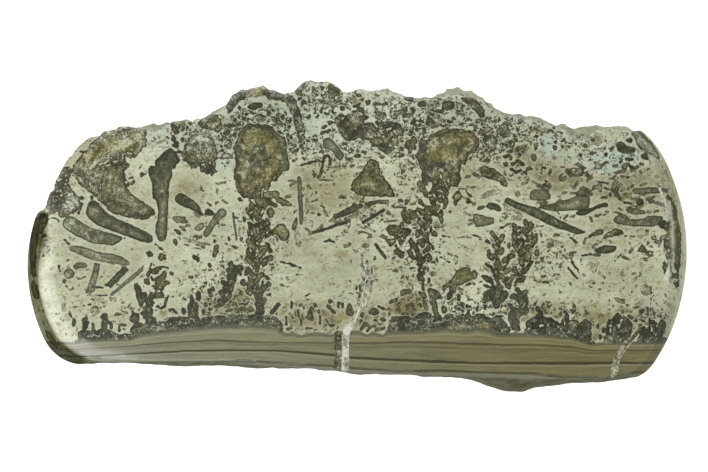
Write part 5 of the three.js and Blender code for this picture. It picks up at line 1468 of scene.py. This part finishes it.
crumb_colour = add(tree, "ShaderNodeMapRange", None,
                   {"Value": noise["patches"], "From Min": 0.4, "From Max": 0.6})
crumb_colour = add(tree, "ShaderNodeMix", MIX_COLOUR,
                   {0: crumb_colour, A: linear("#5b593e"), B: linear("#7f7850")}, COLOUR_OUT)
dark_crumb = add(tree, "ShaderNodeMapRange", None, {"Value": at["specks"], "From Min": 0.2, "From Max": 0.6})
crumb_colour = add(tree, "ShaderNodeMix", MIX_COLOUR,
                   {0: dark_crumb, A: crumb_colour, B: linear("#323321")}, COLOUR_OUT)
mud = add(tree, "ShaderNodeMix", MIX_COLOUR, {0: crumbs, A: mud, B: crumb_colour}, COLOUR_OUT)
mud_hairline = add(tree, "ShaderNodeMath", MULTIPLY, {0: hairline, 1: 0.22})
mud = add(tree, "ShaderNodeMix", MIX_COLOUR, {0: mud_hairline, A: mud, B: linear("#6b6a50")}, COLOUR_OUT)

# %% [markdown]
# ### Inside the marks
#
# A growth is built of laminae that follow its outline, so a noise is read along the distance to it. Mottles,
# streaks, dark threads, pale flecks and seams of spar come on top. The sum says how light the stone is, and
# two rows of colours, grey and ochre, turn that into a colour.

# %% The inside of the marks
LAMINA = 0.8  # mm between growth layers, which follow the outline
ALONG = 0.3  # how fast the layers change in a mm along them
SEAM = 1.1  # mm between seams of spar
x_y = add(tree, "ShaderNodeSeparateXYZ", None, {"Vector": mm}, "X")
x_mm, y_mm = x_y, x_y.node.outputs["Y"]
layer = add(tree, "ShaderNodeMath", MULTIPLY, {0: edge, 1: 1 / LAMINA})
far_x = add(tree, "ShaderNodeMath", MULTIPLY, {0: x_mm, 1: ALONG})
far_y = add(tree, "ShaderNodeMath", MULTIPLY, {0: y_mm, 1: ALONG})
layer = add(tree, "ShaderNodeCombineXYZ", None, {"X": layer, "Y": far_x, "Z": far_y})
laminae = add(tree, "ShaderNodeTexNoise", None,
              {"Vector": layer, "Scale": 1.0, "Detail": 2.0, "Distortion": 0.4}, 0)
laminae = add(tree, "ShaderNodeMath", SUBTRACT, {0: laminae, 1: 0.5})
mottle = add(tree, "ShaderNodeMath", SUBTRACT, {0: noise["mottle"], 1: 0.5})
mottle = add(tree, "ShaderNodeMath", MULTIPLY_ADD, {0: laminae, 1: 0.9, 2: mottle})
streaks = add(tree, "ShaderNodeMath", SUBTRACT, {0: noise["streaks"], 1: 0.5})
mottle = add(tree, "ShaderNodeMath", MULTIPLY_ADD, {0: streaks, 1: 1.5, 2: mottle})
thread = add(tree, "ShaderNodeMath", SUBTRACT, {0: noise["threads"], 1: 0.5})
thread = add(tree, "ShaderNodeMath", ABSOLUTE, {0: thread})
thread = add(tree, "ShaderNodeMapRange", SMOOTH,
             {"Value": thread, "From Min": 0.04, "From Max": 0.012, "To Max": 0.2})
mottle = add(tree, "ShaderNodeMath", SUBTRACT, {0: mottle, 1: thread})
liveliness = add(tree, "ShaderNodeMapRange", None, {"Value": at["ragged"], "To Min": 0.3, "To Max": 2.5})
light = add(tree, "ShaderNodeMath", MULTIPLY_ADD, {0: mottle, 1: liveliness, 2: at["light"]})
deep_inside_mark = add(tree, "ShaderNodeMapRange", SMOOTH,
                       {"Value": edge, "From Min": 0.3, "From Max": 1.7, "To Min": -0.04, "To Max": 0.06})
light = add(tree, "ShaderNodeMath", ADD, {0: light, 1: deep_inside_mark})
fleck_level = add(tree, "ShaderNodeMapRange", None, {"Value": at["flecks"], "To Min": 0.85, "To Max": 0.5})
flecks = add(tree, "ShaderNodeMath", SUBTRACT, {0: noise["flecks"], 1: fleck_level})
flecks = add(tree, "ShaderNodeMapRange", SMOOTH,
             {"Value": flecks, "From Min": -0.02, "From Max": 0.06, "To Max": 0.5})
light = add(tree, "ShaderNodeMath", ADD, {0: light, 1: flecks})
seams = add(tree, "ShaderNodeTexVoronoi", {"feature": "DISTANCE_TO_EDGE"},
            {"Vector": bent, "Scale": 1 / SEAM}, "Distance")
seams = add(tree, "ShaderNodeMapRange", SMOOTH,
            {"Value": seams, "From Min": 0.13, "From Max": 0.04, "To Max": 0.4})
seam_gate = add(tree, "ShaderNodeMapRange", None,
                {"Value": noise["patches"], "From Min": 0.38, "From Max": 0.58, "To Min": 0.15})
seams = add(tree, "ShaderNodeMath", MULTIPLY, {0: seams, 1: seam_gate})
light = add(tree, "ShaderNodeMath", MULTIPLY_ADD, {0: seams, 1: at["flecks"], 2: light})
low = add(tree, "ShaderNodeMapRange", None, {"Value": light, "From Min": 0.0, "From Max": 0.5})
high = add(tree, "ShaderNodeMapRange", None, {"Value": light, "From Min": 0.5, "From Max": 1.0})
TONE_COLOURS = (  # dark, middle and light: grey growths, then ochre ones
    ("#31332a", "#6f7259", "#d2d4c2"),
    ("#3c391d", "#706c40", "#aca67d"),
)
filled = []
for dark, middle, pale in TONE_COLOURS:
    ramp = add(tree, "ShaderNodeMix", MIX_COLOUR, {0: low, A: linear(dark), B: linear(middle)}, COLOUR_OUT)
    filled.append(add(tree, "ShaderNodeMix", MIX_COLOUR, {0: high, A: ramp, B: linear(pale)}, COLOUR_OUT))
grey, ochre = filled
fill_colour = add(tree, "ShaderNodeMix", MIX_COLOUR, {0: at["ochre"], A: grey, B: ochre}, COLOUR_OUT)
mark_hairline = add(tree, "ShaderNodeMath", MULTIPLY, {0: hairline, 1: 0.45})
rim_share = add(tree, "ShaderNodeMath", {"operation": "MAXIMUM"}, {0: rim_share, 1: mark_hairline})
fill_colour = add(tree, "ShaderNodeMix", MIX_COLOUR,
                  {0: rim_share, A: fill_colour, B: linear("#2a2815")}, COLOUR_OUT)

# %% [markdown]
# ### The beds
#
# The base turns browner to the right. Thin layers are read from a noise stretched along the beds, and the
# strongest beds are drawn one by one at their own numbers.

# %% The beds of the base
rightward = add(tree, "ShaderNodeMapRange", None, {"Value": x_mm, "From Min": -70.0, "From Max": 40.0})
bed_colour = add(tree, "ShaderNodeMix", MIX_COLOUR,
                 {0: rightward, A: linear("#7c7e69"), B: linear("#6c6846")}, COLOUR_OUT)
bed_wobble = add(tree, "ShaderNodeMath", SUBTRACT, {0: noise["patches"], 1: 0.5})
bed = add(tree, "ShaderNodeMath", MULTIPLY_ADD, {0: bed_wobble, 1: 0.12, 2: at["bed"]})
ALONG_BEDS = 0.02  # beds' thicknesses in a mm along them, so the layers are long
LAYER_SCALE = 4.0  # layers in each bed
along_bed = add(tree, "ShaderNodeMath", MULTIPLY, {0: x_mm, 1: ALONG_BEDS})
in_beds = add(tree, "ShaderNodeCombineXYZ", None, {"X": along_bed, "Y": bed})
layers = add(tree, "ShaderNodeTexNoise", None,
             {"Vector": in_beds, "Scale": LAYER_SCALE, "Detail": 5.0, "Roughness": 0.75}, 0)
layers = add(tree, "ShaderNodeMapRange", None,
             {"Value": layers, "From Min": 0.3, "From Max": 0.7, "To Min": 0.66, "To Max": 1.34})
layered = add(tree, "ShaderNodeCombineXYZ", None, {"X": layers, "Y": layers, "Z": layers})
bed_colour = add(tree, "ShaderNodeMix", MULTIPLY_COLOUR, {0: 1.0, A: bed_colour, B: layered}, COLOUR_OUT)
BEDS = (  # where a layer lies in the beds' numbers, half its thickness in them, how strong, and its colour
    (0.12, 0.2, 0.55, "#4e5142"), (0.5, 0.06, 0.35, "#9b9b7e"), (0.78, 0.14, 0.3, "#8c8560"),
    (1.0, 0.06, 0.75, "#3b3a22"), (1.25, 0.05, 0.35, "#3f3e24"), (2.0, 0.1, 0.9, "#33321b"),
    (2.2, 0.07, 0.3, "#9c9a78"), (3.0, 0.09, 0.8, "#38371f"), (3.5, 0.42, 0.5, "#5f6350"),
)
SOFT = 0.03  # of a bed, half the width of a layer's soft border
for middle, half, strength, layer_colour in BEDS:
    away = add(tree, "ShaderNodeMath", SUBTRACT, {0: bed, 1: middle})
    away = add(tree, "ShaderNodeMath", ABSOLUTE, {0: away})
    one_layer = add(tree, "ShaderNodeMapRange", SMOOTH,
                    {"Value": away, "From Min": half + SOFT, "From Max": half - SOFT, "To Max": strength})
    bed_colour = add(tree, "ShaderNodeMix", MIX_COLOUR,
                     {0: one_layer, A: bed_colour, B: linear(layer_colour)}, COLOUR_OUT)
in_base = add(tree, "ShaderNodeMapRange", SMOOTH, {"Value": bed, "From Min": -0.1, "From Max": 0.1})
mud = add(tree, "ShaderNodeMix", MIX_COLOUR, {0: in_base, A: mud, B: bed_colour}, COLOUR_OUT)

# %% [markdown]
# ### Marks over mud
#
# The hedge alone is full of sparks of clear spar, between its tips and its foot. The marks are then laid over
# the mud, apart from the part of the hedge that would reach down into the beds. Fine grain goes over both.

# %% Marks over mud, then grain over both
SPARK_GAP = 0.62  # mm from one place for a spark of spar in the hedge to the next
SPARK_RADIUS, SPARK_SOFT = 0.32, 0.08  # as shares of that
SPARK_SHARE = 0.3  # of the places that hold one
sparks = add(tree, "ShaderNodeTexVoronoi", None, {"Vector": bent, "Scale": 1 / SPARK_GAP}, "Distance")
spark_kept = add(tree, "ShaderNodeSeparateColor", None, {"Color": sparks.node.outputs["Color"]}, "Red")
spark_kept = add(tree, "ShaderNodeMath", LESS_THAN, {0: spark_kept, 1: SPARK_SHARE})
sparks = add(tree, "ShaderNodeMapRange", SMOOTH,
             {"Value": sparks, "From Min": SPARK_RADIUS + SPARK_SOFT, "From Max": SPARK_RADIUS,
              "To Max": 0.95})
above_foot = add(tree, "ShaderNodeMapRange", SMOOTH,
                 {"Value": at["bed"], "From Min": -0.12, "From Max": -0.22})
below_tips = add(tree, "ShaderNodeMapRange", SMOOTH,
                 {"Value": at["bed"], "From Min": -0.85, "From Max": -0.6})
for kept_share in (spark_kept, only_hedge, above_foot, below_tips):
    sparks = add(tree, "ShaderNodeMath", MULTIPLY, {0: sparks, 1: kept_share})
fill_colour = add(tree, "ShaderNodeMix", MIX_COLOUR,
                  {0: sparks, A: fill_colour, B: linear("#aaad9b")}, COLOUR_OUT)
rooted = add(tree, "ShaderNodeMapRange", SMOOTH, {"Value": bed, "From Min": 0.35, "From Max": 0.0})
rooted = add(tree, "ShaderNodeMix", None, {0: only_hedge, 2: 1.0, 3: rooted}, 0)
mark = add(tree, "ShaderNodeMath", MULTIPLY, {0: inside, 1: rooted})
colour = add(tree, "ShaderNodeMix", MIX_COLOUR, {0: mark, A: mud, B: fill_colour}, COLOUR_OUT)
grain = add(tree, "ShaderNodeMapRange", None,
            {"Value": noise["grain"], "From Min": 0.3, "From Max": 0.7, "To Min": 0.84, "To Max": 1.16})
grain = add(tree, "ShaderNodeCombineXYZ", None, {"X": grain, "Y": grain, "Z": grain})
colour = add(tree, "ShaderNodeMix", MULTIPLY_COLOUR, {0: 1.0, A: colour, B: grain}, COLOUR_OUT)

# %% [markdown]
# ### Weathering and finish
#
# The natural sides have a pale weathered skin. All the sides also get painted shade, darkest at the left end
# and on the base side. The polished face has a satin polish under a coat of wax.

# %% Weathered sides, painted shade on the sides, and the finish
skin_colour = add(tree, "ShaderNodeMix", MIX_COLOUR,
                  {0: noise["patches"], A: linear("#84826a"), B: linear("#bbbfa9")}, COLOUR_OUT)
skin_share = add(tree, "ShaderNodeMath", MULTIPLY, {0: at["weathered"], 1: 0.45})
colour = add(tree, "ShaderNodeMix", MIX_COLOUR, {0: skin_share, A: colour, B: skin_colour}, COLOUR_OUT)
# Painted shade: the sides are multiplied towards a dark olive, in patches, as far as their painted shade
# number says
painted_shade = add(tree, "ShaderNodeMapRange", None,
            {"Value": noise["patches"], "From Min": 0.42, "From Max": 0.6, "To Min": 1.0, "To Max": 0.85})
painted_shade = add(tree, "ShaderNodeMath", MULTIPLY, {0: painted_shade, 1: at["painted_shade"]})
painted_shade = add(tree, "ShaderNodeMix", MIX_COLOUR, {0: painted_shade, A: (1, 1, 1, 1), B: linear("#686843")}, COLOUR_OUT)
colour = add(tree, "ShaderNodeMix", MULTIPLY_COLOUR, {0: 1.0, A: colour, B: painted_shade}, COLOUR_OUT)
tree.links.new(colour, surface.inputs["Base Color"])
POLISH, BROKEN = 0.31, 0.8  # roughness of the satin face, and of ground or broken stone
surface.inputs["Roughness"].default_value = POLISH
surface.inputs["IOR"].default_value = 1.58
surface.inputs["Specular IOR Level"].default_value = 0.3
surface.inputs["Coat Weight"].default_value = 1.0  # wax, rubbed in after polishing
surface.inputs["Coat IOR"].default_value = 1.5
surface.inputs["Coat Roughness"].default_value = 0.18
pits = add(tree, "ShaderNodeMath", MULTIPLY, {0: noise["grain"], 1: at["weathered"]})
bump = add(tree, "ShaderNodeBump", None, {"Height": pits, "Strength": 0.4, "Distance": 0.3 * MM})
tree.links.new(bump, surface.inputs["Normal"])
print("material nodes:", len(tree.nodes))

# %% [markdown]
# ## Ground and broken sides
#
# The ends were ground but not waxed, and the long sides are as they broke. Both are the same stone with the
# same growths in it, only matt, so this is the same material with other finish values.

# %% The matt finish
ground_stone = stone.copy()
ground_stone.name = "matt algal limestone"
matt = ground_stone.node_tree.nodes["Principled BSDF"].inputs
matt["Coat Weight"].default_value = 0.0
matt["Specular IOR Level"].default_value = 0.02
matt["Roughness"].default_value = BROKEN

# %% [markdown]
# ## Put the piece together
#
# The relief is made once and kept, with no modifier left on the stone. The finished mesh then stands for the
# measured solid.

# %% Apply the relief and the material
modifier = slab.modifiers.new("relief", "NODES")
modifier.node_group = relief
for name, value in RELIEF_INPUTS.items():
    modifier[sockets[name]] = value
modifier[sockets["Face stone"]] = stone
modifier[sockets["Side stone"]] = ground_stone
bpy.context.view_layer.update()
finished = bpy.data.meshes.new_from_object(slab.evaluated_get(bpy.context.evaluated_depsgraph_get()))
slab.modifiers.remove(modifier)
slab.data = finished
finished.name = "stromatolite slab"
finished.shade_smooth()
moved = np.array([v.co for v in finished.vertices]) / MM - vertices
print("relief, deepest mm:", round(float(np.linalg.norm(moved, axis=1).max()), 2), "materials:",
      [m.name for m in finished.materials])

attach(slab, "root")
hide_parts("stromatolite_slab")

# %% [markdown]
# ## Studio
#
# The stone lies on a lit white table in an even, bright room. A large soft light half way up at the left is
# mirrored only by the rounded left end, which shows it as a pale band. The room straight above is dim, so the
# polished face mirrors little and its colours stay deep.

# %% Table, room and light
FLOOR_HALF = 1.5  # m
TABLE_GLOW = 0.75
ROOM_GLOW, ZENITH_GLOW = 0.46, 0.06  # round the stone, and straight above it
DIM_FROM, DIM_TO = 0.9, 0.98  # height in the sky, from 0 to 1, at which it dims
floor_mesh = bpy.data.meshes.new("table")
corners = [(x * FLOOR_HALF, y * FLOOR_HALF, 0) for x, y in ((-1, -1), (1, -1), (1, 1), (-1, 1))]
floor_mesh.from_pydata(corners, [], [(0, 1, 2, 3)])
floor = bpy.data.objects.new("table", floor_mesh)
bpy.context.scene.collection.objects.link(floor)
paper = bpy.data.materials.new("matt white light table")
paper.use_nodes = True
paper_surface = paper.node_tree.nodes["Principled BSDF"].inputs
paper_surface["Base Color"].default_value = linear("#d8d8d8")
paper_surface["Roughness"].default_value = 0.9
paper_surface["Specular IOR Level"].default_value = 0.2
paper_surface["Emission Color"].default_value = linear("#ffffff")
paper_surface["Emission Strength"].default_value = TABLE_GLOW
floor_mesh.materials.append(paper)

room = bpy.data.worlds.new("room")
room.use_nodes = True
sky = room.node_tree
direction = add(sky, "ShaderNodeTexCoord", out="Generated")
height = add(sky, "ShaderNodeSeparateXYZ", None, {"Vector": direction}, "Z")
glow = add(sky, "ShaderNodeMapRange", SMOOTH,
           {"Value": height, "From Min": DIM_FROM, "From Max": DIM_TO,
            "To Min": ROOM_GLOW, "To Max": ZENITH_GLOW})
sky.links.new(glow, sky.nodes["Background"].inputs["Strength"])
sky.nodes["Background"].inputs["Color"].default_value = linear("#ffffff")
bpy.context.scene.world = room


def softbox(name, azimuth, elevation, distance, width, height, power):
    """A rectangular soft light facing the stone: angles in degrees, sizes in metres, power in watts."""
    data = bpy.data.lights.new(name, "AREA")
    data.shape = "RECTANGLE"
    data.size, data.size_y, data.energy = width, height, power
    lamp = bpy.data.objects.new(name, data)
    flat = math.cos(math.radians(elevation)) * distance
    lamp.location = (flat * math.cos(math.radians(azimuth)), flat * math.sin(math.radians(azimuth)),
                     math.sin(math.radians(elevation)) * distance)
    lamp.rotation_euler = (-lamp.location).to_track_quat("-Z", "Y").to_euler()
    bpy.context.scene.collection.objects.link(lamp)


softbox("left softbox", 214, 44, 0.8, 0.75, 0.85, 6.0)
softbox("right softbox", 20, 30, 0.9, 0.5, 0.3, 0.8)
softbox("top softbox", 95, 40, 0.8, 0.75, 0.85, 2.6)
bpy.context.scene.view_settings.view_transform = "Standard"
